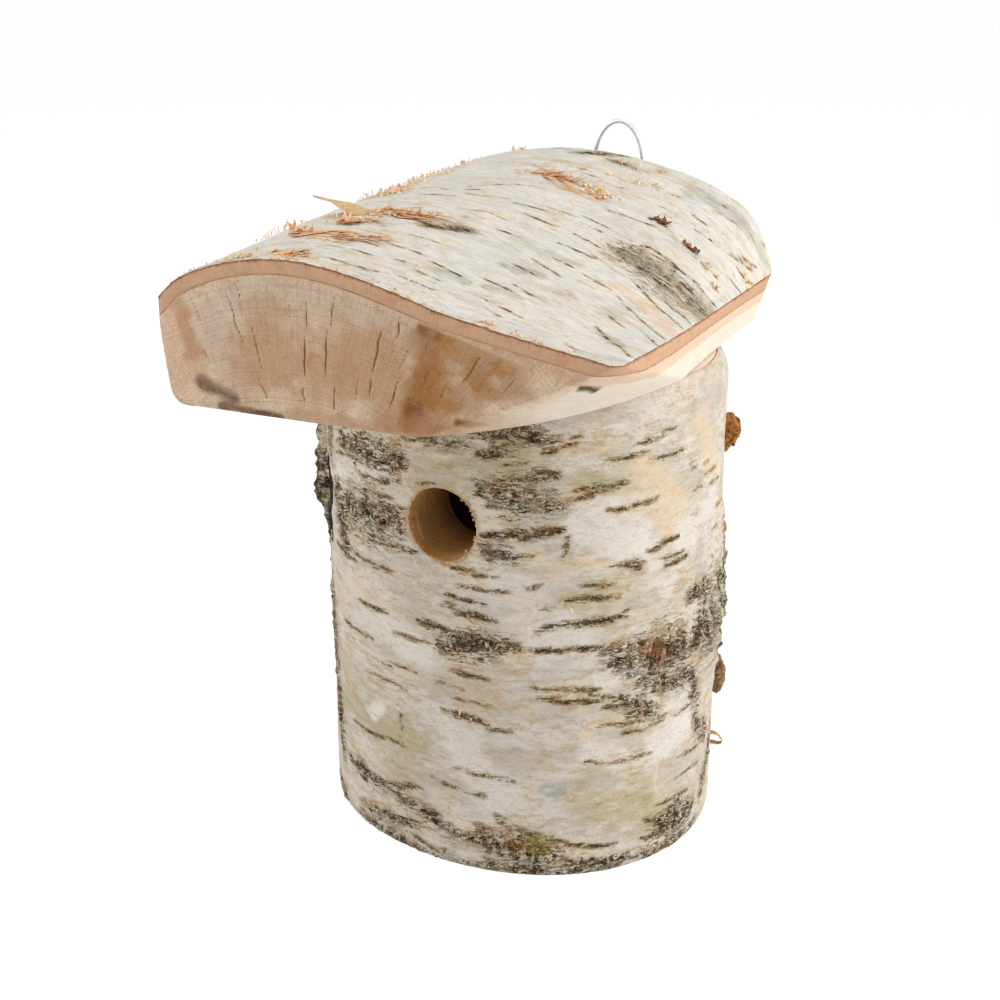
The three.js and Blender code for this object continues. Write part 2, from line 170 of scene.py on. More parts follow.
class Wire:
    """What comes out of a shader node. Sums, differences and products of wires are Math nodes."""

    def __init__(self, tree, socket):
        self.tree, self.socket = tree, socket

    def __add__(self, other):
        return maths("ADD", self, other)

    def __sub__(self, other):
        return maths("SUBTRACT", self, other)

    def __rsub__(self, other):
        return maths("SUBTRACT", other, self)

    def __mul__(self, other):
        return maths("MULTIPLY", self, other)

    __radd__, __rmul__ = __add__, __mul__


def feed(node, wires):
    """Gives a node's inputs, by name or number, their values or incoming wires."""
    for key, value in wires.items():
        if isinstance(value, Wire):
            value.tree.links.new(value.socket, node.inputs[key])
        else:
            node.inputs[key].default_value = value


def put(kind, wires, tree=None, **settings):
    """A shader node with its settings and inputs. Gives what comes out of it, by number and by name."""
    tree = tree or next(value.tree for value in wires.values() if isinstance(value, Wire))
    made = tree.nodes.new("ShaderNode" + kind)
    for key, value in settings.items():
        setattr(made, key, value)
    feed(made, wires)
    return {key: Wire(tree, socket) for i, socket in enumerate(made.outputs) for key in (i, socket.name)}


def maths(operation, first, second=0.0, clamp=False):
    """One sum or other operation on two values, held between 0 and 1 if clamped."""
    return put("Math", {0: first, 1: second}, operation=operation, use_clamp=clamp)[0]


def mixed(amount, first, second, blend="MIX"):
    """The first colour, with the second laid over it by an amount from 0 to 1."""
    return put("Mix", {0: amount, 6: first, 7: second}, data_type="RGBA", blend_type=blend)[2]


def ramp(value, *stops):
    """A colour for a value, blended between stops of place and colour."""
    made = value.tree.nodes.new("ShaderNodeValToRGB")
    feed(made, {0: value})
    points = made.color_ramp.elements
    while len(points) < len(stops):
        points.new(0.5)
    for point, (place, colour) in zip(points, stops):
        point.position, point.color = place, paint(*colour)
    return Wire(value.tree, made.outputs[0])


def shaded(colour, strength, pattern, low, middle, high):
    """A colour darkened where a pattern is low: low and middle are places and colours, high a place."""
    return mixed(strength, colour, ramp(pattern, low, middle, (high, (255, 255, 255))), "MULTIPLY")


def step(value, low, high):
    """A soft step: 0 where a value is low, 1 where it is high, and an S curve in between."""
    wires = {"Value": value, "From Min": low, "From Max": high}
    return put("MapRange", wires, interpolation_type="SMOOTHSTEP")["Result"]


def noise(place, detail, rough, twist=0.0, scale=1):
    """Noise of as many sizes as detail says, each rough times as strong as the one before."""
    wires = {"Vector": place, "Scale": scale, "Detail": detail, "Roughness": rough, "Distortion": twist}
    return put("TexNoise", wires)


def grain(place, scale, detail=4, rough=0.6, twist=0.0):
    """Noise on places in mm, with its own fineness along each axis."""
    return noise(put("VectorMath", {0: place, 1: scale}, operation="MULTIPLY")[0], detail, rough, twist)[0]


def swing(value, strength):
    """Noise moved so that it swings about nothing, by a strength."""
    return (value - 0.5) * strength


def new_group(name, inputs, outputs):
    """A node group with its sockets. Gives the group, its inputs as wires, and its end."""
    tree = bpy.data.node_groups.new(name, "ShaderNodeTree")
    for way, sockets in (("INPUT", inputs), ("OUTPUT", outputs)):
        for key, kind in sockets.items():
            tree.interface.new_socket(key, in_out=way, socket_type="NodeSocket" + kind)
    start = tree.nodes.new("NodeGroupInput").outputs
    return tree, {key: Wire(tree, start[key]) for key in inputs}, tree.nodes.new("NodeGroupOutput")


def new_material(name):
    """Gives a material, its Principled node, and the place on the object in mm."""
    material = bpy.data.materials.new(name)
    material.use_nodes = True
    tree = material.node_tree
    place = put("VectorMath", {0: put("TexCoord", {}, tree)["Object"], 3: 1 / mm}, operation="SCALE")[0]
    return material, tree.nodes["Principled BSDF"], place


def turned_to(place, order):
    """A place with its axes in the order named, so that the trunk runs along the last."""
    axes = put("SeparateXYZ", {0: place})
    return put("CombineXYZ", {i: axes[axis] for i, axis in enumerate(order)})[0]


def attribute(place, name):
    """A colour that the mesh carries at each of its points."""
    return put("Attribute", {}, place.tree, attribute_name=name)


def channels(place, name):
    """The red, green and blue of a colour attribute, as three masks."""
    return put("SeparateColor", {0: attribute(place, name)["Color"]})


def dress(shader, colour, rough, height, strength, distance, **constants):
    """Feeds a Principled node its colour, roughness, a bump from a height, and constants."""
    normal = put("Bump", {"Height": height, "Strength": strength, "Distance": distance})[0]
    wires = {"Base Color": colour, "Roughness": rough, "Normal": normal}
    feed(shader, wires | {key.replace("_", " "): value for key, value in constants.items()})


# Birch wood: year rings round the pith, rays outwards from it and pores along the trunk.
wood_group, given, end = new_group(
    "birch wood",
    {"Place": "Vector", "Ring": "Float", "Tint": "Color", "Amount": "Float"},
    {"Color": "Color", "Roughness": "Float", "Height": "Float"})
place = given["Place"]
parts = put("SeparateXYZ", {0: place})
flat = put("CombineXYZ", {0: parts[0], 1: parts[1], 2: 0.0})[0]
from_pith = put("VectorMath", {0: flat}, operation="LENGTH")["Value"]
turned = maths("ARCTAN2", parts[1], parts[0])
ringed = from_pith + grain(place, (0.03, 0.03, 0.012), 3, 0.45) * 7.0
rings = noise(put("CombineXYZ", {0: ringed * given["Ring"], 1: 0.0, 2: 0.0})[0], 5, 0.75)[0]
ray_place = put("CombineXYZ", {0: turned * 150.0, 1: from_pith * 0.1, 2: parts[2] * 0.05})[0]
rays = noise(ray_place, 4, 0.65)[0]
pores = grain(place, (2.4, 2.4, 0.12), 4, 0.7)
fibres = grain(place, (0.8, 0.8, 0.02), 5, 0.65)
cloudy = grain(place, (0.16, 0.16, 0.03), 5, 0.62, 0.5)
zones = grain(place, (0.035, 0.035, 0.01), 3, 0.55, 0.6)
wood_colour = ramp(zones, (0.3, (222, 200, 176)), (0.5, (236, 218, 198)), (0.7, (244, 232, 216)))
uneven = given["Amount"] * (1.0 + swing(cloudy, 2.2) + swing(rings, 1.2) + swing(fibres, 0.8))
wood_colour = mixed(maths("ADD", uneven, 0.0, clamp=True), wood_colour, given["Tint"])
for pattern, strength, low, middle in (
        (rings, 0.6, (196, 172, 150), (242, 234, 224)), (rays, 0.3, (206, 194, 180), (250, 246, 242)),
        (pores, 0.75, (180, 158, 134), (246, 241, 235)), (fibres, 0.35, (212, 198, 182), (250, 246, 242)),
        (cloudy, 0.5, (214, 194, 174), (250, 246, 240))):
    wood_colour = shaded(wood_colour, strength, pattern, (0.36, low), (0.49, middle), 0.6)
feed(end, {"Color": wood_colour, "Roughness": fibres * 0.2 + 0.62, "Height": pores * 0.6 + rays * 0.3})


def wood_material(name, order, pith, ring, tinted, bump_strength):
    """Birch wood whose trunk runs along the last of the three axes named in order, about a pith in mm."""
    material, shader, place = new_material(name)
    away = put("VectorMath", {0: place, 1: pith}, operation="SUBTRACT")[0]
    wires = {"Place": turned_to(away, order), "Ring": ring}
    if tinted:
        stain = attribute(place, "stain")
        wires.update(Tint=stain["Color"], Amount=stain["Alpha"])
    got = put("Group", wires, node_tree=wood_group)
    colour = got["Color"]
    if tinted:
        cut = channels(place, "cuts")
        edge = cut[0] + swing(grain(place, (1.3, 1.3, 1.3), 3), 0.25)
        colour = mixed(cut[1] * 0.7, colour, stain["Color"])
        colour = mixed(step(edge, 0.42, 0.56) * 0.95, colour, paint(136, 88, 34))
    dress(shader, colour, got["Roughness"], got["Height"], bump_strength, 0.0003, Specular_IOR_Level=0.3)
    return material


log_wood = wood_material("log wood", "XYZ", (0, 0, 0), 0.5, True, 0.5)

turns = 240
angles = np.arange(turns) / turns * 2 * math.pi
wood_edge = log_radius(angles) - log_bark_depth - gap


def log_ring(radius, height):
    """Points round the log at a height, at a radius that may differ from one to the next."""
    radius = np.broadcast_to(radius, angles.shape)
    return np.column_stack([radius * np.cos(angles), radius * np.sin(angles), np.full(turns, float(height))])


# Up the outside, in over the sawn top, down the cavity, and out over the seat for the floor
outer_rows, top_rows, cavity_rows = 49, 13, 45
profile = [log_ring(wood_edge, z) for z in np.linspace(0, log_height, outer_rows)]
for share in np.linspace(0, 1, top_rows + 2)[1:-1]:
    profile.append(log_ring(wood_edge + (cavity_radius - wood_edge) * share, log_height))
profile += [log_ring(cavity_radius, z) for z in np.linspace(log_height, floor_depth, cavity_rows)]
profile += [log_ring(r, floor_depth) for r in np.linspace(cavity_radius, seat_radius, 4)[1:]]
profile += [log_ring(seat_radius, z) for z in np.linspace(floor_depth, 0, 6)[1:]]
profile += [log_ring(seat_radius + (wood_edge - seat_radius) * s, 0) for s in np.linspace(0, 1, 6)[1:-1]]
body_points = np.concatenate(profile)
body_numbers = np.arange(len(body_points)).reshape(-1, turns)
body_faces = grid_faces(np.concatenate([body_numbers, body_numbers[:1]]), closed=True)


def block_out(points, faces, reach, first_row, last_row):
    """Drops the faces near the entrance between two rows of rings, and gives the block's border in order."""
    used = points[faces].mean(axis=1)
    rows = faces.min(axis=1) // turns
    near = (rows >= first_row) & (rows < last_row) & (used[:, 1] < 0)
    near &= (np.abs(used[:, 0] - entrance[0]) < reach) & (np.abs(used[:, 2] - entrance[1]) < reach)
    return faces[~near], np.unique(border_of(faces[near]))


def round_entrance(points, numbers):
    """Each vertex's place from 0 to 1 round the entrance, and the numbers in that order."""
    off_x, off_z = points[numbers, 0] - entrance[0], points[numbers, 2] - entrance[1]
    place = np.arctan2(off_z, off_x) / (2 * math.pi) % 1
    order = np.argsort(place)
    return numbers[order], place[order]


block_reach = entrance_radius + 3
body_faces, outer_border = block_out(body_points, body_faces, block_reach, 0, outer_rows - 1)
cavity_start = outer_rows + top_rows
body_faces, inner_border = block_out(
    body_points, body_faces, block_reach, cavity_start, cavity_start + cavity_rows - 1)
bore_turns = 96
bore_place = np.arange(bore_turns) / bore_turns
wood_bore_radius = entrance_radius + 0.1
bore_x = entrance[0] + wood_bore_radius * np.cos(bore_place * 2 * math.pi)
bore_z = entrance[1] + wood_bore_radius * np.sin(bore_place * 2 * math.pi)


def front_of(x, set_in):
    """How far forward the log's surface is at x, set in by a depth."""
    angle = np.full(np.shape(x), -math.pi / 2)
    for _ in range(6):
        radius = log_radius(angle) - set_in
        angle = -np.arccos(np.clip(x / radius, -1, 1))
    return radius * np.sin(angle)


bore_front = front_of(bore_x, log_bark_depth + gap)
bore_back = -np.sqrt(cavity_radius ** 2 - bore_x ** 2)
bore_rows = 25
shares = np.linspace(0, 1, bore_rows)[:, None]
bore_y = bore_front + (bore_back - bore_front) * shares
bore_points = np.stack(np.broadcast_arrays(bore_x, bore_y, bore_z), axis=-1).reshape(-1, 3)
chatter = cloud(bore_points, (9, 1.6, 9), 5, 2)[:, None] * 0.12
bore_points[:, [0, 2]] += (bore_points[:, [0, 2]] - entrance) / entrance_radius * chatter
bore_numbers = (len(body_points) + np.arange(len(bore_points))).reshape(bore_rows, bore_turns)
body_points = np.concatenate([body_points, bore_points])
bored_colour, sawn_colour = paint(216, 182, 112)[:3], paint(252, 244, 230)[:3]
trunk_stain = np.tile([*bored_colour, 0.85], (len(body_points), 1))
bore_depth = np.repeat(shares[:, 0], bore_turns)
# Painted shade: the bore's wall is darkened from halfway in to its inner end at the cavity, with faint bands
# along it.
painted_bore_shade = np.clip((bore_depth - 0.5) / 0.4, 0, 1) * (0.8 + 0.2 * np.cos(bore_depth * 75))
trunk_stain[bore_numbers.ravel(), :3] *= 1 - painted_bore_shade[:, None] * (0.5, 0.58, 0.62)
on_top_end = body_points[:, 2] > log_height - 0.01
trunk_stain[on_top_end | (body_points[:, 2] < 0.01)] = [*sawn_colour, 0.95]
trunk_cuts = np.tile([0, 0, 0, 1], (len(body_points), 1))
trunk_cuts[:, 1] = on_top_end
hollow_trunk = build_mesh("hollow_trunk", body_points, [
    body_faces, grid_faces(bore_numbers, closed=True),
    zip_rings(bore_numbers[0], bore_place, *round_entrance(body_points, outer_border)),
    zip_rings(bore_numbers[-1], bore_place, *round_entrance(body_points, inner_border)),
], [log_wood], None, {"stain": trunk_stain, "cuts": trunk_cuts})
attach(hollow_trunk, "log")
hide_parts("log_body")

# Birch bark: papery layers in creams and greys, crossed by dark lenticels, and cracked where it is old.
# The marks on each piece say where the lenticels, the old bark and the stains are, and how low the bark
# lies, which is painted as shade.
bark_group, given, end = new_group(
    "birch bark",
    {"Place": "Vector", "Streak": "Float", "Old": "Float", "Depth Shade": "Float", "Tint": "Color",
     "Amount": "Float", "Pale": "Color", "Mid": "Color", "Dull": "Color", "Smudge": "Float",
     "Grainy": "Float"},
    {"Color": "Color", "Roughness": "Float", "Height": "Float"})
where = noise(given["Place"], 4, 0.6, scale=0.22)["Color"]
for operation, amount in (("SUBTRACT", (0.5, 0.5, 0.5)), ("MULTIPLY", (9, 9, 3.5)), ("ADD", given["Place"])):
    where = put("VectorMath", {0: where, 1: amount}, operation=operation)[0]
strands = grain(where, (0.22, 0.22, 1.0), 6, 0.66)
flecks = grain(where, (0.5, 0.5, 0.85), 6, 0.72)
middle = grain(where, (0.11, 0.11, 0.36), 6, 0.65)
broad = grain(where, (0.028, 0.028, 0.06), 5, 0.55)
toned = grain(where, (0.05, 0.05, 0.11), 5, 0.62, 0.5)
hue = grain(where, (0.075, 0.075, 0.1), 4, 0.6)
dashes = grain(where, (0.2, 0.2, 2.0), 4, 0.55)
bark_colour = mixed(step(broad, 0.4, 0.58), given["Mid"], given["Pale"])
layer = step(toned, 0.5, 0.506) * 0.35
bark_colour = mixed(layer, bark_colour, given["Pale"])
smudge = step(middle + swing(flecks, 0.7), 0.46, 0.66)
bark_colour = mixed(smudge * given["Smudge"], bark_colour, given["Dull"])
warm = ramp(hue, (0.36, (255, 248, 236)), (0.5, (255, 254, 252)), (0.62, (248, 246, 250)))
bark_colour = mixed(1.0, bark_colour, warm, "MULTIPLY")
blotted = maths("MULTIPLY", given["Amount"], 0.9 + swing(flecks, 2.2) + swing(middle, 2.6), clamp=True)
bark_colour = mixed(blotted, bark_colour, given["Tint"])
small = step(dashes + swing(flecks, 0.25), 0.65, 0.69) * 0.45
bark_colour = mixed(small, bark_colour, paint(120, 105, 82))
for pattern, strength, low in ((strands, 0.34, (196, 186, 168)), (flecks, 0.32, (190, 180, 162))):
    bark_colour = shaded(
        bark_colour, given["Grainy"] * strength, pattern, (0.32, low), (0.47, (247, 244, 239)), 0.6)
seam = step(maths("ABSOLUTE", toned - 0.503), 0.02, 0.004) * step(strands, 0.44, 0.58) * given["Grainy"]
bark_colour = mixed(seam * 0.38, bark_colour, paint(164, 142, 108))

# Dark streaks, with a brown edge where the bark is stained round them
ticks = grain(where, (1.1, 1.1, 0.3), 4, 0.62)
ragged = swing(strands, 2.9) + swing(flecks, 1.1) + swing(middle, 1.7)
near_streak, near_old = (maths("ADD", 0.35, given[mark] * 1.8, clamp=True) for mark in ("Streak", "Old"))
streak_edge = given["Streak"] + (ragged + swing(ticks, 0.9)) * near_streak
old_edge = given["Old"] + ragged * near_old
aged = ramp(
    hue, (0.36, (168, 120, 72)), (0.46, (174, 150, 106)), (0.55, (176, 166, 134)), (0.64, (186, 179, 160)))
halo = maths("MAXIMUM", step(streak_edge, -0.15, 0.46) * 0.82, step(old_edge, -0.1, 0.5) * 0.75)
bark_colour = mixed(halo, bark_colour, aged)
crisp = flecks + swing(strands, 1.0)
core = maths("SUBTRACT", streak_edge, 0.55, clamp=True) * 0.13
dark_colour = ramp(
    crisp - core, (0.37, (32, 24, 14)), (0.46, (64, 48, 26)), (0.53, (110, 86, 48)),
    (0.59, (164, 139, 94)), (0.66, (212, 198, 166)))
bark_colour = mixed(step(streak_edge, 0.44, 0.64), bark_colour, dark_colour)

# Old bark: brown and grey grit with pale flakes, cracks round them and fissures along the trunk
# Painted shade: the old bark's grit is a little darker where the depth mark says the bark lies low, and
# lighter where it stands up.
old_tone = crisp + swing(middle, 1.35) + swing(given["Depth Shade"], 0.2)
old_base = ramp(
    grain(where, (0.15, 0.15, 0.13), 4, 0.62), (0.37, (172, 122, 76)), (0.44, (172, 142, 104)),
    (0.52, (184, 165, 130)), (0.6, (148, 134, 96)), (0.67, (120, 106, 72)))
grit = ramp(
    old_tone, (0.3, (42, 32, 20)), (0.42, (102, 83, 56)), (0.49, (172, 150, 116)), (0.55, (232, 222, 204)),
    (0.6, (255, 255, 255)))
old_colour = mixed(1.0, old_base, grit, "MULTIPLY")
old_colour = mixed(step(old_tone, 0.56, 0.66) * 0.82, old_colour, paint(230, 220, 200))
old_colour = mixed(blotted * 0.72, old_colour, mixed(0.55, given["Tint"], grit, "MULTIPLY"))
curls = maths("ABSOLUTE", swing(grain(where, (0.34, 0.34, 0.3), 4, 0.6), 2.0))
crack = 1.0 - step(curls, 0.01, 0.06)
old_colour = mixed(crack * 0.5, old_colour, paint(44, 34, 24))
rifts = grain(where, (0.26, 0.26, 0.06), 4, 0.6) + swing(flecks, 0.2)
rift = step(rifts, 0.48, 0.43) * step(old_edge, 0.5, 0.7)
old_colour = mixed(rift * 0.86, old_colour, paint(44, 32, 19))
old_amount = step(old_edge, 0.42, 0.6)
bark_colour = mixed(old_amount, bark_colour, old_colour)
worn = maths("MAXIMUM", step(streak_edge, 0.4, 0.6), old_amount)
# Painted shadow: where the depth mark falls below nothing, in the groove beside the raised plate, the bark
# is painted near black.
painted_gap_shadow = ramp(crisp, (0.42, (14, 11, 8)), (0.56, (40, 31, 21)), (0.66, (82, 68, 50)))
bark_colour = mixed(step(given["Depth Shade"], 0.0, -0.8), bark_colour, painted_gap_shadow)
bark_height = flecks * 0.4 + strands * 0.25 + layer * 0.35 + crisp * worn * 1.4
bark_height -= (rift + crack * 0.5) * old_amount
feed(end, {"Color": bark_colour, "Roughness": worn * 0.28 + 0.6, "Height": bark_height})


def bark_material(name, order, pale, mid, dull, smudge, grainy):
    """Birch bark whose trunk runs along the last of the three axes named in order."""
    material, shader, place = new_material(name)
    marks, stain = channels(place, "marks"), attribute(place, "stain")
    got = put("Group", {
        "Place": turned_to(place, order), "Streak": marks[0], "Old": marks[1], "Depth Shade": marks[2],
        "Tint": stain["Color"], "Amount": stain["Alpha"], "Pale": paint(*pale), "Mid": paint(*mid),
        "Dull": paint(*dull), "Smudge": smudge, "Grainy": grainy}, node_tree=bark_group)
    dress(shader, got["Color"], got["Roughness"], got["Height"], 0.8, 0.0005, Specular_IOR_Level=0.3)
    return material


def cut_material(name, outer, middle, inner):
    """The bark's cut edge: its inner layers, pinkish brown, with lines across its thickness."""
    material, shader, place = new_material(name)
    lines = grain(place, (2.2, 2.2, 0.22), 4, 0.65)
    blotch = grain(place, (0.12, 0.12, 0.3), 4, 0.6)
    depth = channels(place, "marks")[2]
    wander = depth + swing(lines, 0.3) + swing(blotch, 0.2)
    colour = ramp(wander, (0.05, outer), (0.2, middle), (0.8, middle), (0.97, inner))
    torn = grain(place, (0.7, 0.7, 0.7), 4, 0.65) + depth * -0.5
    colour = mixed(step(torn, 0.5, 0.58) * 0.7, colour, paint(*outer))
    colour = shaded(colour, 0.45, lines, (0.3, (206, 180, 160)), (0.5, (250, 244, 238)), 0.66)
    colour = shaded(colour, 0.35, blotch, (0.33, (214, 190, 170)), (0.5, (250, 246, 240)), 0.66)
    parting = step(depth, 0.9, 0.98) * step(blotch, 0.42, 0.6)
    colour = mixed(parting * 0.6, colour, paint(112, 78, 54))
    dress(shader, colour, 0.75, lines, 0.5, 0.0004, Specular_IOR_Level=0.25)
    return material


def off_stroke(across, along, x0, y0, x1, y1):
    """A stroke's length and, for each place, its share along the stroke and its distances off it."""
    dx, dy = x1 - x0, y1 - y0
    length = max(math.hypot(dx, dy), 1e-6)
    px, py = across - x0, along - y0
    share = np.clip((px * dx + py * dy) / length ** 2, 0, 1)
    return length, share, px - share * dx, py - share * dy


def run_field(across, along, runs, along_weight=1.0, least=0.8):
    """For marks that run from one place to another: half at a mark's edge, more inside and less outside."""
    field = np.zeros(np.shape(across))
    for x0, y0, x1, y1, half, strength in runs:
        near = np.abs(across - (x0 + x1) / 2) < abs(x1 - x0) / 2 + 4 * half + 5
        near &= np.abs(along - (y0 + y1) / 2) < abs(y1 - y0) / 2 + 4 * half + 5
        length, share, off_x, off_y = off_stroke(across[near], along[near], x0, y0, x1, y1)
        away = np.hypot(off_x, off_y * along_weight)
        width = half * (0.45 + 0.55 * np.sin(math.pi * share)) if length > 2 * half else half
        value = (0.5 + (width - away) / (2 * np.maximum(width * 1.4, least))) * (0.6 + 0.4 * strength)
        field[near] = np.maximum(field[near], value)
    return field


def soft_stains(across, along, stains, colours, warp):
    """Colour and strength of soft patches, each a stroke with round ends, its border moved by noise."""
    tint = np.zeros((*np.shape(across), 4))
    for kind, *ends, half, strength in stains:
        away = np.hypot(*off_stroke(across, along, *ends)[2:]) / half + warp
        weight = np.clip((1.6 - away) / 1.2, 0, 1)
        weight = (weight * weight * (3 - 2 * weight) * strength)[..., None]
        keep = tint[..., 3:] * (1 - weight)
        total = keep + weight
        colour = np.array(paint(*colours[kind])[:3])
        blend = (tint[..., :3] * keep + colour * weight) / np.maximum(total, 1e-6)
        tint[..., :3] = np.where(total > 1e-6, blend, tint[..., :3])
        tint[..., 3:] = total
    return tint


def lay_over(stain, colour, weight, strength=1):
    """Blends a colour over a table of colours and strengths, by a weight for each place."""
    stain[..., :3] = stain[..., :3] * (1 - weight) + colour * weight
    stain[..., 3:] = np.maximum(stain[..., 3:], weight * strength)


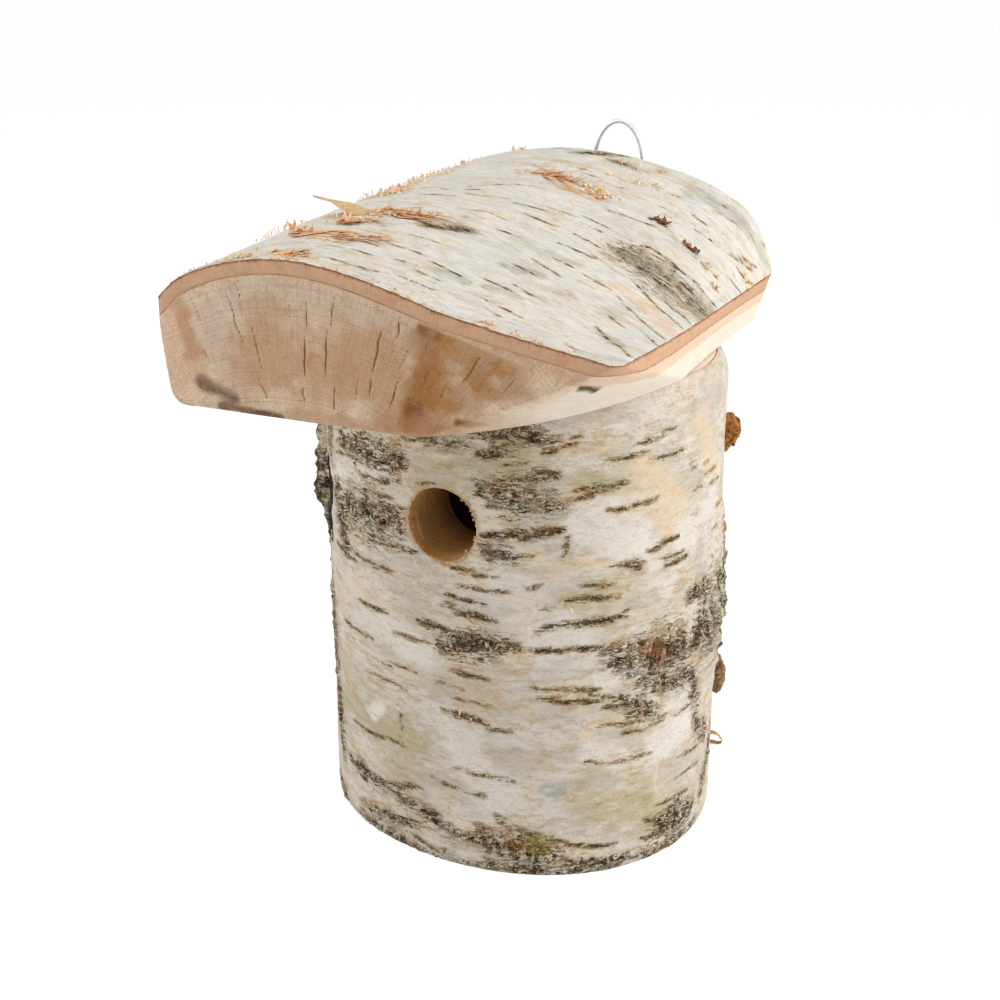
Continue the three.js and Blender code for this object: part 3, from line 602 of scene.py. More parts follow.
# The log's bark, left on all round: pale, with dark lenticels across it and old cracked patches.
# Each row of marks is angle and height at both ends, half width in mm, and strength.
log_streaks = [
    (-104.2, 193.2, -95.7, 194.9, 0.5, 0.7), (-106.8, 189.5, -101.4, 189.3, 0.4, 0.5),
    (-77.9, 199.8, -65.4, 201.6, 1.7, 1), (-80.7, 192.1, -73.1, 192.7, 2, 0.8),
    (-77, 196, -71.8, 195.9, 1.4, 0.7), (-63.8, 194, -58.8, 196.4, 1.4, 0.7),
    (-72.2, 188.7, -65.4, 189.7, 0.7, 0.6), (-74, 181.7, -58.7, 184.6, 2.2, 0.75),
    (-65.4, 186.2, -58.4, 186.5, 1.8, 0.9), (-78.4, 176.4, -66.2, 173, 2.2, 0.4),
    (-78, 170.1, -63.6, 170.3, 2.5, 0.5), (-78, 156.8, -58.2, 160.7, 2.4, 1),
    (-79.4, 150.3, -72.2, 149.4, 2.9, 0.8), (-72.6, 149, -64.4, 149.8, 0.9, 0.9),
    (-88.3, 140.5, -81.4, 141.5, 1.2, 0.7), (-85.3, 139.1, -74.4, 139.9, 0.5, 0.8),
    (-85.3, 133.6, -71.3, 133.4, 1, 0.8), (-90, 128.8, -78.1, 126.9, 1.4, 0.85),
    (-91.6, 122.7, -85.4, 123.1, 2.2, 0.5), (-88.4, 121, -74.9, 120.8, 1.9, 0.9),
    (-99, 113.2, -88.5, 112.3, 1.8, 0.7), (-90.6, 110.1, -68.6, 109.1, 4, 1),
    (-122.9, 111.4, -111.1, 111.6, 1.2, 0.9), (-134.3, 95.8, -117.5, 95.8, 0.9, 0.9),
    (-108.6, 103.6, -93.9, 104.3, 0.7, 0.9), (-62.5, 118, -57.9, 119, 1.4, 0.9),
    (-64.2, 115.9, -60.8, 117.1, 0.8, 0.5), (-65.1, 107.5, -57.8, 108.8, 1.6, 0.9),
    (-120.9, 169.8, -104, 174, 1.4, 0.7), (-119.5, 164, -107.3, 165.7, 1.8, 0.55),
    (-98.1, 174.9, -91.6, 176, 0.6, 0.7), (-116.5, 160.4, -102.4, 162.3, 1.2, 0.75),
    (-116.5, 159.2, -116.1, 146.6, 1.3, 0.8), (-107.4, 157.6, -101.9, 155.8, 1.1, 0.8),
    (-116.9, 142.8, -98, 144.6, 1.6, 0.7), (-125.9, 132.6, -108, 132.4, 0.9, 0.9),
    (-116.6, 130.3, -108, 131.7, 0.6, 0.6), (-110.4, 144.4, -99.1, 144.9, 0.7, 0.6),
    (-137.9, 131, -125.9, 129.6, 1.8, 0.8), (-139.7, 173.4, -115.9, 179.5, 1.4, 0.6),
    (-63.5, 196.3, -53.6, 198.1, 1.1, 0.85), (-55.7, 200.6, -52.8, 201.4, 0.4, 0.5),
    (-36.9, 196.2, -29.7, 197, 1.3, 0.75), (-39.5, 195.2, -35.9, 195.9, 0.5, 0.7),
    (-30.8, 198.8, -25.7, 199.7, 0.6, 0.8), (-46.8, 189.9, -34.8, 192.1, 0.8, 0.85),
    (-34.7, 187.9, -21.3, 188.9, 0.9, 0.8), (-20.3, 181.1, -15.6, 181.3, 0.6, 0.7),
    (-19.4, 177.8, -17.1, 177.6, 0.6, 0.5), (-12.6, 177.8, -8.9, 177.9, 0.4, 0.6),
    (-12.4, 172.9, -3.7, 172.4, 0.5, 0.6), (-8.7, 167, -1.4, 166.7, 0.7, 0.6),
    (-17.4, 167.8, -13, 167.6, 0.4, 0.6), (-3.5, 154.5, 12.4, 149.7, 0.6, 0.7),
    (-54.3, 178.6, -41.2, 179.6, 2, 0.9), (-54.2, 174.7, -47.5, 177.2, 1.4, 0.7),
    (-46.9, 168.6, -40.2, 169, 1.1, 0.85), (-40.6, 169.1, -31.7, 170.6, 0.9, 0.9),
    (-73.7, 157.5, -57.2, 162.1, 2.2, 1), (-56.4, 158.8, -56.3, 149.5, 1.3, 0.75),
    (-43.4, 143.7, -34.7, 143.8, 1.1, 0.6), (-39.2, 142.3, -36.2, 140.6, 2.2, 0.9),
    (-33.8, 147.9, -24.6, 151, 1.8, 0.85), (-29.3, 142.6, -21.7, 143, 1.4, 0.6),
    (-28, 139.1, -19.3, 140.4, 1.1, 0.6), (-58, 130.1, -47.7, 130.9, 1.4, 1),
    (-52.9, 130.9, -42.3, 129.8, 1.3, 0.9), (-53, 136.8, -43.3, 136, 1.4, 0.3),
    (-60.5, 118.6, -49.3, 119.3, 0.9, 0.95), (-57.1, 120.1, -39.2, 120.7, 1.8, 0.9),
    (-43, 119.5, -39.8, 123.1, 1.4, 0.8), (-63, 107.7, -42.8, 108.9, 1.3, 0.9),
    (-47.4, 105.4, -32.8, 107, 2.2, 0.85), (-66.6, 135, -63.2, 137.1, 0.9, 0.5),
    (-62.7, 126.8, -60.1, 126.8, 1.4, 0.4), (-18.6, 158, -15.3, 157.9, 0.5, 0.5),
    (-13.9, 150.5, -11, 150.5, 0.4, 0.5), (-4, 143.7, 1.9, 142.7, 0.5, 0.5),
    (-117.8, 86.7, -109.6, 86.9, 0.4, 0.9), (-110.2, 89, -98.7, 88.7, 0.4, 0.9),
    (-119.6, 78.8, -104.4, 79.4, 0.8, 0.8), (-88.1, 93.8, -76.7, 92.7, 1.1, 0.9),
    (-93, 86.6, -84.6, 86, 0.5, 0.9), (-87.1, 81.3, -77.2, 80.2, 0.6, 0.9),
    (-91.5, 75, -77.7, 71.5, 1.4, 0.95), (-77.7, 69.5, -70.3, 69.6, 0.7, 0.95),
    (-129.3, 48.2, -105.6, 50.9, 1, 0.85), (-106.1, 65.3, -105.9, 49.9, 0.4, 0.7),
    (-135.4, 27.5, -106, 28.3, 1.3, 0.8), (-87.4, 48.1, -82.7, 47.3, 0.5, 0.8),
    (-83.2, 46.7, -70.2, 45.9, 0.8, 0.95), (-94.6, 40.6, -82.8, 37.1, 1, 0.9),
    (-81.2, 36.8, -77.8, 37, 1.1, 1), (-119.1, 11.7, -106.3, 13, 1.6, 0.95),
    (-109.4, 28, -98.3, 32.3, 2.2, 0.6), (-107.4, 24.2, -92.5, 21.7, 2.5, 0.7),
    (-98.5, 18.9, -82.3, 15, 2, 0.8), (-105, 7.7, -92.7, 4, 1.1, 0.9), (-91.6, 2.8, -77.8, 2.2, 0.7, 0.9),
    (-77.8, 1.4, -51.8, 1, 1.3, 0.7), (-81.3, 22, -74.9, 20.5, 1.8, 0.4),
    (-80.8, 14.7, -70.2, 13.3, 1.8, 0.7), (-74.9, 28.8, -70.2, 21.5, 2.2, 0.4),
    (-68.8, 21.8, -62.4, 18.3, 2.2, 0.9), (-62.4, 18.3, -52, 15.2, 1.4, 0.8),
    (-71.1, 9.7, -51.9, 6.8, 2.2, 0.6), (-65.6, 90.6, -47.1, 88.7, 1.1, 0.45),
    (-63.4, 85.7, -46.1, 83.4, 1.6, 1), (-48.9, 86.7, -32.2, 80.5, 1.4, 0.6),
    (-45.2, 80.5, -32.1, 78.2, 2.5, 0.6), (-46.9, 70.7, -39.3, 70.8, 0.9, 0.85),
    (-42.2, 70.2, -25.8, 68.6, 1.4, 0.7), (-33.5, 65.3, -26.5, 66.5, 0.7, 0.8),
    (-41.2, 65.9, -34, 64.7, 1.1, 0.5), (-21.7, 66.5, -11.2, 66.6, 0.6, 0.9),
    (-50.3, 54.6, -44.8, 53.9, 0.8, 0.95), (-44.8, 53.5, -30.9, 53.2, 0.9, 0.85),
    (-20.1, 44.7, -2.3, 40, 0.7, 0.85), (-20.5, 34.2, -7.8, 33.3, 0.5, 0.8),
    (-28.4, 25.1, -13.9, 23.6, 1, 1), (-31.8, 19.6, -16.3, 12.6, 3.6, 0.6),
    (-32.8, 10.8, -19.5, 9, 2.9, 0.7), (-54.4, 14.7, -41.2, 11.9, 1.1, 0.8),
    (-52.5, 4.5, -41.1, 3.9, 1.3, 0.8), (-41.1, 3.9, -32, 1.1, 1.1, 0.7), (-73.7, 1.6, -54.3, 2.2, 1.8, 0.7),
    (-73.7, 9.2, -59.8, 12.5, 3.2, 0.5)]
log_old = [
    (-42.1, 100.3, -16.2, 98.8, 10, 1), (-17.2, 120.1, 12.4, 116.6, 6.5, 0.9),
    (-16.2, 98.8, 7.5, 103, 12.2, 1), (-35.3, 88.7, -14.3, 82.2, 5.7, 0.9),
    (-136.1, 158.7, -129.9, 134.3, 7.4, 0.9), (-130.9, 154.8, -105.6, 154.7, 9.6, 0.85),
    (-151.9, 176.1, -151.9, 114.2, 3.3, 1), (-147, 112, -144, 58, 6, 0.85), (-144, 60, -140, 22, 5.5, 0.9),
    (-145.5, 10, -135.6, -3.1, 2.8, 1), (-134, 26, -110, 24.5, 3.2, 0.75), (-111, 24.5, -86, 15, 3.4, 0.8),
    (-126, 8.5, -100, 12, 2.4, 0.7), (-130.7, -1.8, -111.2, -0.9, 3, 0.9), (-12, 60, -3, 44, 4.2, 0.8),
    (-16, 86, -10, 62, 3.4, 0.6), (-28.4, 14.9, -11.8, 13.3, 7.4, 0.8),
    (-133, 183.1, -104.3, 182.5, 7.4, 0.7), (-104, 193.9, -81.8, 196.7, 3, 0.6),
    (-79.7, 177.6, -58.3, 172.2, 7.4, 0.55), (-91.5, 104.6, -70.4, 108.5, 5.2, 0.8),
    (-79.6, 17, -57, 8.7, 7.4, 0.75), (-57, 6.7, -33.5, 3.1, 3, 0.7), (-86, 15, -62, 11, 4.2, 0.8),
    (6, 42, -4, 12, 4.5, 0.6), (-126, 2, -84, 0.5, 3.4, 0.9), (-84, 2, -40, 1, 3.8, 0.9),
    (-40, 2, -8, 3, 2.8, 0.8), (-146, 196, -141, 168, 5, 0.7), (-41.3, 82.3, -30, 72.1, 5.7, 0.6),
    (-79, 202.2, -58.5, 199.6, 4.8, 0.6), (-79.2, 153, -71, 147.8, 4.8, 0.6)]
log_stains = [
    ("olive", -130.8, 58, -104.6, 56.1, 10.9, 0.9), ("olive", -49.1, 36.4, -34, 25.1, 10.9, 0.8),
    ("olive", -95.6, 181.6, -73.7, 185.3, 7.8, 0.7), ("olive", -55.3, 174.3, -55.6, 148.4, 3, 0.8),
    ("olive", -53.3, 178.4, -42.9, 179.1, 6.5, 0.8), ("olive", -61.8, 127.2, -36.5, 139.5, 5.7, 0.6),
    ("olive", -115.9, 32.2, -95.6, 38.2, 6.5, 0.5), ("olive", -73.7, 198.8, -63.4, 182.8, 8.7, 0.5),
    ("peach", -34.3, 179.1, -26.1, 152.1, 10, 0.9), ("peach", -29.4, 77.5, -28.8, 28.3, 1.1, 1),
    ("peach", -15.9, 198.4, -4.1, 171, 5.7, 0.7), ("peach", -49.5, 67.9, -47.4, 55.5, 2.6, 0.8),
    ("peach", -51.7, 145.8, -42.3, 144.2, 3, 0.7), ("peach", -64.5, 150.6, -58.1, 141.9, 3.5, 0.7),
    ("peach", -36.1, 122.2, -31.1, 113.4, 3.5, 0.5), ("peach", -133.3, 110.9, -113.8, 116.5, 4.3, 0.5),
    ("peach", 0.9, 34.6, 1.1, 10.9, 1.1, 0.9), ("white", -50.6, 165.3, -36.7, 150.2, 10, 1),
    ("white", -118.7, 104.6, -98.4, 99.7, 8.7, 0.9), ("white", -85.5, 59.3, -73.7, 36, 8.7, 0.8),
    ("white", -71, 134.6, -55.2, 112.7, 10.9, 0.8), ("white", -47, 93.2, -35.5, 95.3, 3.9, 0.9),
    ("white", -49.3, 58.3, -42.2, 54, 4.8, 0.9), ("white", -133.9, 167.2, -126.1, 166.2, 3, 1),
    ("white", -27.8, 57.3, -14.2, 58.7, 7.4, 0.9), ("white", -22.9, 148.5, -5.6, 158.1, 6.5, 0.8),
    ("white", -115, 65.3, -119.1, 59.5, 3, 1), ("white", -96, 2.7, -82.7, 2.4, 4.3, 0.8),
    ("moss", -64.8, 17, -62.4, 14, 3.6, 1.3), ("rust", -70.3, 15.4, -67.5, 14.8, 3, 0.9),
    ("rust", -31.9, 106.8, -28.2, 98.2, 5.7, 1), ("rust", -38.6, 142.8, -36.5, 140.3, 2.6, 0.9),
    ("rust", -141.6, 179.2, -139.8, 174.5, 1.5, 1), ("blue", -62.0, 41, -57.5, 42, 2.4, 0.6),
    ("shade", -164, 214, -158, 130, 14, 0.45), ("shade", 16, 126, 8, 84, 9, 0.5)]
log_stain_colours = {
    "olive": (182, 167, 131), "peach": (230, 206, 178), "white": (232, 228, 222), "moss": (158, 146, 10),
    "rust": (176, 118, 70), "blue": (152, 163, 172), "shade": (124, 111, 88)}
log_bark_skin = bark_material(
    "log bark", "XYZ", (224, 218, 209), (206, 197, 184), (184, 170, 144), smudge=0.75, grainy=1.0)
log_bark_cut = cut_material("log bark edge", (204, 156, 98), (255, 250, 240), (252, 242, 226))

columns, levels = 352, 262
face_angle = math.radians(-66)
even = np.arange(columns) / columns * 2 * math.pi + face_angle
bark_angles = even - 0.3 * np.sin(even - face_angle)
bark_heights = np.linspace(0, log_height, levels)
angle_grid, height_grid = np.meshgrid(bark_angles, bark_heights)
degrees = (np.degrees(angle_grid) + 246) % 360 - 246
arc_grid = np.radians(degrees) * mean_radius
rng = np.random.default_rng(11)


def to_arc(rows):
    """Marks whose places are angle and height, with the angles made distances round the log in mm."""
    per_degree = math.radians(1) * mean_radius
    return [(a0 * per_degree, z0, a1 * per_degree, z1, *rest) for a0, z0, a1, z1, *rest in rows]


# Streaks and old patches on the sides that the photograph doesn't show
unseen = []
for _ in range(95):
    turn = rng.uniform(14, 190)
    length = rng.uniform(4, 17)
    height = rng.uniform(3, 214)
    far_height, half = height + rng.normal(0, 1.2), rng.choice([0.5, 0.8, 1.3, 2.2, 3.4])
    unseen.append((turn, height, turn + length, far_height, half, rng.uniform(0.6, 1)))
unseen_old = [
    (22, 150, 40, 140, 12, 0.9), (75, 60, 96, 40, 15, 1), (140, 180, 160, 176, 11, 0.9),
    (175, 30, 195, 26, 9, 0.8), (60, 12, 110, 6, 5, 0.7), (120, 110, 132, 100, 9, 0.9),
    (30, 60, 44, 52, 8, 0.8), (150, 90, 168, 84, 7, 0.7)]
turned_over = [(a - 360, z0, b - 360, z1, h, s) for a, z0, b, z1, h, s in unseen + unseen_old if b > 100]
wide = np.stack([np.cos(angle_grid), np.sin(angle_grid), height_grid / mean_radius], axis=-1) * mean_radius
wander_u = cloud(wide, (9, 9, 5), 21, 3)
wander_v = cloud(wide, (11, 11, 11), 31, 3)
arc_moved, height_moved = arc_grid + wander_u * 1.6, height_grid + wander_v * 0.7
streak_rows = log_streaks + unseen + [row for row in turned_over if row[4] < 4]
old_rows = log_old + unseen_old + [row for row in turned_over if row[4] >= 4]
stain_rows = [(kind, *to_arc([row])[0]) for kind, *row in log_stains]
streaks = run_field(arc_moved, height_moved, to_arc(streak_rows), 1.15, 1.5)
old = run_field(arc_moved + wander_v * 1.5, height_moved + wander_u * 2, to_arc(old_rows), 1.0, 4.0)
stain_warp = cloud(wide, (8, 8, 4), 41, 4) * 0.55
stain = soft_stains(arc_moved, height_moved, stain_rows, log_stain_colours, stain_warp)
fissure = 1 - np.abs(cloud(wide, (3.4, 3.4, 9), 51, 3)) * 2.2
flake = cloud(wide, (2.2, 2.2, 2.2), 61, 3)
old_weight = np.clip((old - 0.4) / 0.3, 0, 1)
streak_weight = np.clip((streaks - 0.4) / 0.3, 0, 1)
rise = cloud(wide, (34, 34, 50), 71, 3) * 0.45 + cloud(wide, (14, 14, 2.4), 81, 3) * 0.12
rise += streak_weight * (flake * 0.35 + 0.05)
rise += old_weight * (0.7 + flake * 0.8 - np.clip(fissure, 0, 1) * 1.3)

# A raised plate of old bark at the left limb, and the groove beside it, painted near black as shade
plate_depth = np.interp(
    height_grid, [116, 128, 136, 142, 148, 158, 170, 185, 204], [0, 0.12, 0.33, 0.8, 1, 0.9, 0.68, 0.7, 0.6])
plate = np.clip((8 - np.abs(degrees + 159.5) + wander_v * 0.8) / 2, 0, 1)
rise += plate * plate_depth * (5.7 + flake * 0.6 + wander_u * 1.5)
old = np.maximum(old, plate * np.clip(plate_depth * 6, 0, 1.1))

# Swellings of old bark at the right limb: angle, height, half sizes along both, and how far they stand out
for turn, height, half_turn, half_height, swell in (
        (14, 112, 22, 24, 3.4), (12, 80, 22, 16, 2.2), (-8, 101, 16, 12, 1.4)):
    away = np.hypot((degrees - turn) / half_turn, (height_grid - height) / half_height)
    near = np.clip(1.4 - away + wander_v * 0.2, 0, 1)
    rise += near * (swell + flake * 0.6 + wander_u * 0.8 - np.clip(fissure, 0, 1) * 1.2)
    old = np.maximum(old, near * 1.1 * (degrees > 6))
gap_width = 5.6 * np.sqrt(np.clip(1 - ((height_grid - 148 - wander_u * 3) / 23) ** 2, 0, 1))
shadowed_groove = np.clip((gap_width - np.abs(degrees + 147.3 - wander_v * 3.4)) / 2, 0, 1)
rise -= shadowed_groove * 1.6
# The groove gets the old bark's dark grit and a depth mark below nothing, so it is painted near black as
# shade.
old = np.maximum(old, shadowed_groove * 1.4)
# The depth mark, painted as shade: lower where the bark sinks or is fissured, higher where it stands up.
depth_shade = np.clip(0.5 + rise * 0.35 - np.clip(fissure, 0, 1) * 0.3, 0, 1) - shadowed_groove * 2.5
end_fade = np.clip(np.minimum(height_grid, log_height - height_grid) / 3, 0, 1)
relief = rise * (0.4 + 0.6 * end_fade)
radius_grid = log_radius(angle_grid) + relief - np.exp(-height_grid / 0.9) * 0.5
from_top = log_height - height_grid
worn_rim = np.clip((46 - np.abs(degrees + 2)) / 14, 0, 1) * np.clip(1 - from_top / 10, 0, 1) ** 2
radius_grid -= worn_rim * (4.5 + relief)
bark_points = np.stack([
    radius_grid * np.cos(angle_grid), radius_grid * np.sin(angle_grid), height_grid], axis=-1).reshape(-1, 3)
bark_marks = np.stack([streaks, old, depth_shade, np.ones_like(depth_shade)], axis=-1).reshape(-1, 4)
bark_stain = stain.reshape(-1, 4)

# The entrance is bored through the bark as well, and its rim is frayed.
bark_numbers = np.arange(len(bark_points)).reshape(levels, columns)
skin_faces = grid_faces(bark_numbers, closed=True)
from_centre = bark_points[:, [0, 2]] - entrance
distance = np.hypot(*from_centre.T)
rim_wander = cloud(bark_points, 2.2, 91, 2) * 0.22
inside = (distance < entrance_radius + rim_wander) & (bark_points[:, 1] < 0)
skin_faces = skin_faces[~inside[skin_faces].all(axis=1)]
open_edges = border_of(skin_faces)
rim = np.unique(open_edges[inside[open_edges].all(axis=1)])
moved = inside & np.isin(np.arange(len(bark_points)), skin_faces)
stretch = ((entrance_radius + rim_wander) / np.maximum(distance, 1e-6))[moved, None]
bark_points[np.ix_(moved, [0, 2])] = entrance + from_centre[moved] * stretch
# The depth mark, which is painted as shade, is set to nothing on the rim pulled into the bore.
bark_marks[moved, 2] = 0
bark_points[moved, 1] = front_of(bark_points[moved, 0], 0) - rise.reshape(-1)[moved]
off_rim = np.abs(distance - entrance_radius - 0.2)
fray = np.clip(1.4 - off_rim / 1.1 + flake.reshape(-1) * 0.6, 0, 1) * (bark_points[:, 1] < 0)
fray[moved] = 1
bark_marks[:, :2] *= 1 - 0.8 * fray[:, None]
lay_over(bark_stain, np.array(paint(184, 134, 78)[:3]), fray[:, None], 0.85)

# Its thickness shows in the bore and at both sawn ends
rim, rim_place = round_entrance(bark_points, rim)
inner_edge = bark_points[rim].copy()
inner_edge[:, 1] = front_of(inner_edge[:, 0], log_bark_depth + gap - 0.05)
extra = [bark_points[rim] + (inner_edge - bark_points[rim]) * s for s in (0.5, 1)]
bore_loops = [rim] + [len(bark_points) + len(rim) * k + np.arange(len(rim)) for k in range(2)]
inner_radius = log_radius(bark_angles) - log_bark_depth
start = len(bark_points) + 2 * len(rim)
inner_x = inner_radius * np.cos(bark_angles)
inner_y = inner_radius * np.sin(bark_angles)
rings, cut_faces = [], []
for level, height in ((0, 0.0), (-1, log_height)):
    edge = bark_points[bark_numbers[level]]
    inner = np.column_stack([inner_x, inner_y, np.full(columns, height)])
    numbers = [bark_numbers[level]]
    for share in (0.34, 0.67, 1):
        numbers.append(start + np.arange(columns))
        rings.append(edge + (inner - edge) * share)
        start += columns
    cut_faces += [loop_faces(a, b) for a, b in zip(numbers, numbers[1:])]
    if level == 0:
        foot_numbers = numbers[-1]
top_numbers = numbers[-1]

# The bark's hidden inner side is coarse, apart from the block round the entrance
stride = 8
back_columns = np.arange(0, columns, stride)
back_heights = [24, 131, 187]
back_rings = []
for height in back_heights:
    rings.append(np.column_stack([inner_x, inner_y, np.full(columns, height)])[::stride])
    back_rings.append(start + np.arange(len(back_columns)))
    start += len(back_columns)
coarse_place = back_columns / columns
fine_place = np.arange(columns) / columns
middle_faces = np.concatenate([loop_faces(low, high) for low, high in zip(back_rings, back_rings[1:])])
all_points = np.concatenate([bark_points, *extra, *rings])
centre = all_points[middle_faces].mean(axis=1)
inner_block_reach = 24
near_hole = (centre[:, 1] < 0) & (centre[:, 2] > back_heights[1])
near_hole &= np.abs(centre[:, 0] - entrance[0]) < inner_block_reach
block = np.unique(border_of(middle_faces[near_hole]))
count_added = len(all_points) - len(bark_points)
fill_marks = np.tile([0, 0, 0, 1], (count_added, 1))
fill_marks[2 * len(rim):2 * len(rim) + 6 * columns, 2] = 0.5
all_marks = np.concatenate([bark_marks, fill_marks])
all_stain = np.concatenate([bark_stain, np.zeros((count_added, 4))])
log_bark = build_mesh("birch_bark_round_log", all_points, [
    skin_faces,
    np.concatenate(cut_faces + [loop_faces(a, b) for a, b in zip(bore_loops, bore_loops[1:])]),
    middle_faces[~near_hole],
    np.concatenate([
        zip_rings(foot_numbers, fine_place, back_rings[0], coarse_place),
        zip_rings(top_numbers, fine_place, back_rings[2], coarse_place),
        zip_rings(bore_loops[-1], rim_place, *round_entrance(all_points, block))]),
], [log_bark_skin, log_bark_cut], [0, 1, 1, 1], {"marks": all_marks, "stain": all_stain}, sharp=55)
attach(log_bark, "log")
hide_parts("log_bark")

# The floor disc is a birch board, held by four screws of yellow-passivated steel, and the roof's pin is of
# bright steel. All of them keep their CAD shapes.
floor_wood = wood_material("floor wood", "XZY", (-30, 0, -60), 0.5, False, 0.4)


def metal_material(name, colour, roughness, mottle):
    """Metal that is mottled a little in colour and roughness."""
    material, shader, place = new_material(name)
    patches = grain(place, (1.2, 1.2, 1.2), 4, 0.6)
    shade = ramp(patches, (0.3, [part * (1 - mottle) for part in colour]), (0.7, colour))
    dress(shader, shade, patches * 0.25 + roughness, patches, 0.2, 0.00005, Metallic=1)
    return material


def finish_node(node_name, material):
    """Gives its material to a node that keeps its CAD shape."""
    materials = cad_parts[node_name].data.materials
    materials.clear()
    materials.append(material)


screw_steel = metal_material("yellow passivated steel", (214, 188, 116), 0.22, 0.15)
pin_steel = metal_material("bright steel", (186, 186, 188), 0.2, 0.1)
finish_node("floor_disc", floor_wood)
finish_node("roof_pivot_pin", pin_steel)
for number in range(1, 5):
    finish_node(f"floor_screw_{number}", screw_steel)

# The hanger: galvanised wire bent into a half-round loop, its legs down the back and in through the bark.
# The staples that hold it keep their CAD shapes.
galvanised = metal_material("galvanised wire", (228, 229, 228), 0.3, 0.12)
wire_radius = 1.1
wire_y = float(log_radius(np.array(math.pi / 2))) + gap + wire_radius
loop_middle, loop_half_width, loop_rise = 6, 12.25, 20
leg_left, leg_right = loop_middle - loop_half_width, loop_middle + loop_half_width
foot, spring, bend = 149.5, 282.5, 6


def tube(path, radius, sides):
    """Points round a path in mm, each ring square to the path, and the tube's faces with closed ends."""
    ahead = np.gradient(path, axis=0)
    ahead /= np.linalg.norm(ahead, axis=1)[:, None]
    side = np.cross(ahead, np.broadcast_to([0.123, 0.456, 0.2], path.shape))
    side /= np.linalg.norm(side, axis=1)[:, None]
    other = np.cross(ahead, side)
    turn = np.arange(sides) / sides * 2 * math.pi
    ring = side[:, None] * np.cos(turn)[:, None] + other[:, None] * np.sin(turn)[:, None]
    points = path[:, None] + ring * np.reshape(radius, (-1, 1, 1))
    numbers = np.arange(len(path) * sides).reshape(len(path), sides)
    return points.reshape(-1, 3), [grid_faces(numbers, closed=True), numbers[:1], numbers[-1:]]


quarter = np.linspace(0, math.pi / 2, 9)
crown = np.linspace(math.pi, 0, 41)
depth_in_wood = 24
end_y = wire_y - depth_in_wood - log_bark_depth
leg = [(leg_left, end_y, foot)]
leg += [(leg_left, wire_y - bend + bend * math.sin(q), foot + bend - bend * math.cos(q)) for q in quarter]
half = np.array(leg)
arch_top = np.column_stack([
    loop_middle + loop_half_width * np.cos(crown), np.full(len(crown), wire_y),
    spring + loop_rise * np.sin(crown)])
other_half = half[::-1].copy()
other_half[:, 0] = leg_right
wire_path = np.concatenate([half, arch_top, other_half])
wire_points, wire_faces = tube(wire_path, wire_radius, 16)
hanging_wire = build_mesh("galvanised_hanging_wire", wire_points, wire_faces, [galvanised])
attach(hanging_wire, "log")
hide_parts("hanger_wire")
for side in ("left", "right"):
    finish_node(f"hanger_staple_{side}", galvanised)

# The roof: a slab of a thicker birch, flat below, its front end sawn across the grain and cracked in drying.
# Its top follows the trunk's old outline, and the corner over the entrance is rounded away below.
roof_under = 217.8
roof_left, roof_front, roof_back = -89.5, -149.5, 85
roof_width, roof_crest = 187.5, 72
right_front, right_back = 98, 88
flare_height, flare = 34, 0.95
corner_cut_across, corner_cut_along = 70, 115
back_rounding, front_left_rounding = 14, 4
roof_bark_depth = 6
arch_across = np.array([
    -0.06, 0, 0.05, 0.12, 0.2, 0.3, 0.4, 0.49, 0.57, 0.65, 0.73, 0.81, 0.88, 0.95, 1, 1.06])
arch_front = np.array([
    0.44, 0.565, 0.675, 0.76, 0.815, 0.843, 0.823, 0.775, 0.717, 0.657, 0.615, 0.576, 0.544, 0.513, 0.49,
    0.465])
arch_middle = np.array([
    0.5, 0.625, 0.745, 0.84, 0.895, 0.925, 0.92, 0.88, 0.825, 0.76, 0.68, 0.59, 0.485, 0.37, 0.29, 0.2])
arch_back = np.array([
    0.47, 0.64, 0.76, 0.865, 0.93, 0.978, 1, 0.988, 0.96, 0.914, 0.855, 0.765, 0.63, 0.3, 0.1, -0.1])


def smooth_through(places, values, at):
    """A smooth curve through values at places: cubic pieces whose slopes match where they meet."""
    slopes = np.gradient(values, places)
    i = np.clip(np.searchsorted(places, at) - 1, 0, len(places) - 2)
    h = places[i + 1] - places[i]
    s = (at - places[i]) / h
    return ((2 * s ** 3 - 3 * s ** 2 + 1) * values[i] + (s ** 3 - 2 * s ** 2 + s) * h * slopes[i]
            + (3 * s ** 2 - 2 * s ** 3) * values[i + 1] + (s ** 3 - s ** 2) * h * slopes[i + 1])


def arch(x, y):
    """Height of the roof's top: three profiles across it, joined along it by a parabola."""
    across = (x - roof_left) / roof_width
    q = (roof_back - y) / (roof_back - roof_front) * 2
    b, m, f = (smooth_through(arch_across, p, across) for p in (arch_back, arch_middle, arch_front))
    return roof_under + roof_crest * (b * (q - 1) * (q - 2) / 2 + m * q * (2 - q) + f * q * (q - 1) / 2)


def arch_below(x, y, depth):
    """Height of a layer that lies a depth below the top, measured square to the slope."""
    slope = arch(x + 0.5, y) - arch(x - 0.5, y)
    return arch(x, y) - depth * np.sqrt(1 + slope ** 2)


def curve(start, pull, finish, s):
    """A curve from start to finish that heads for pull."""
    s = np.asarray(s)[:, None]
    return (1 - s) ** 2 * start + 2 * s * (1 - s) * pull + s ** 2 * finish


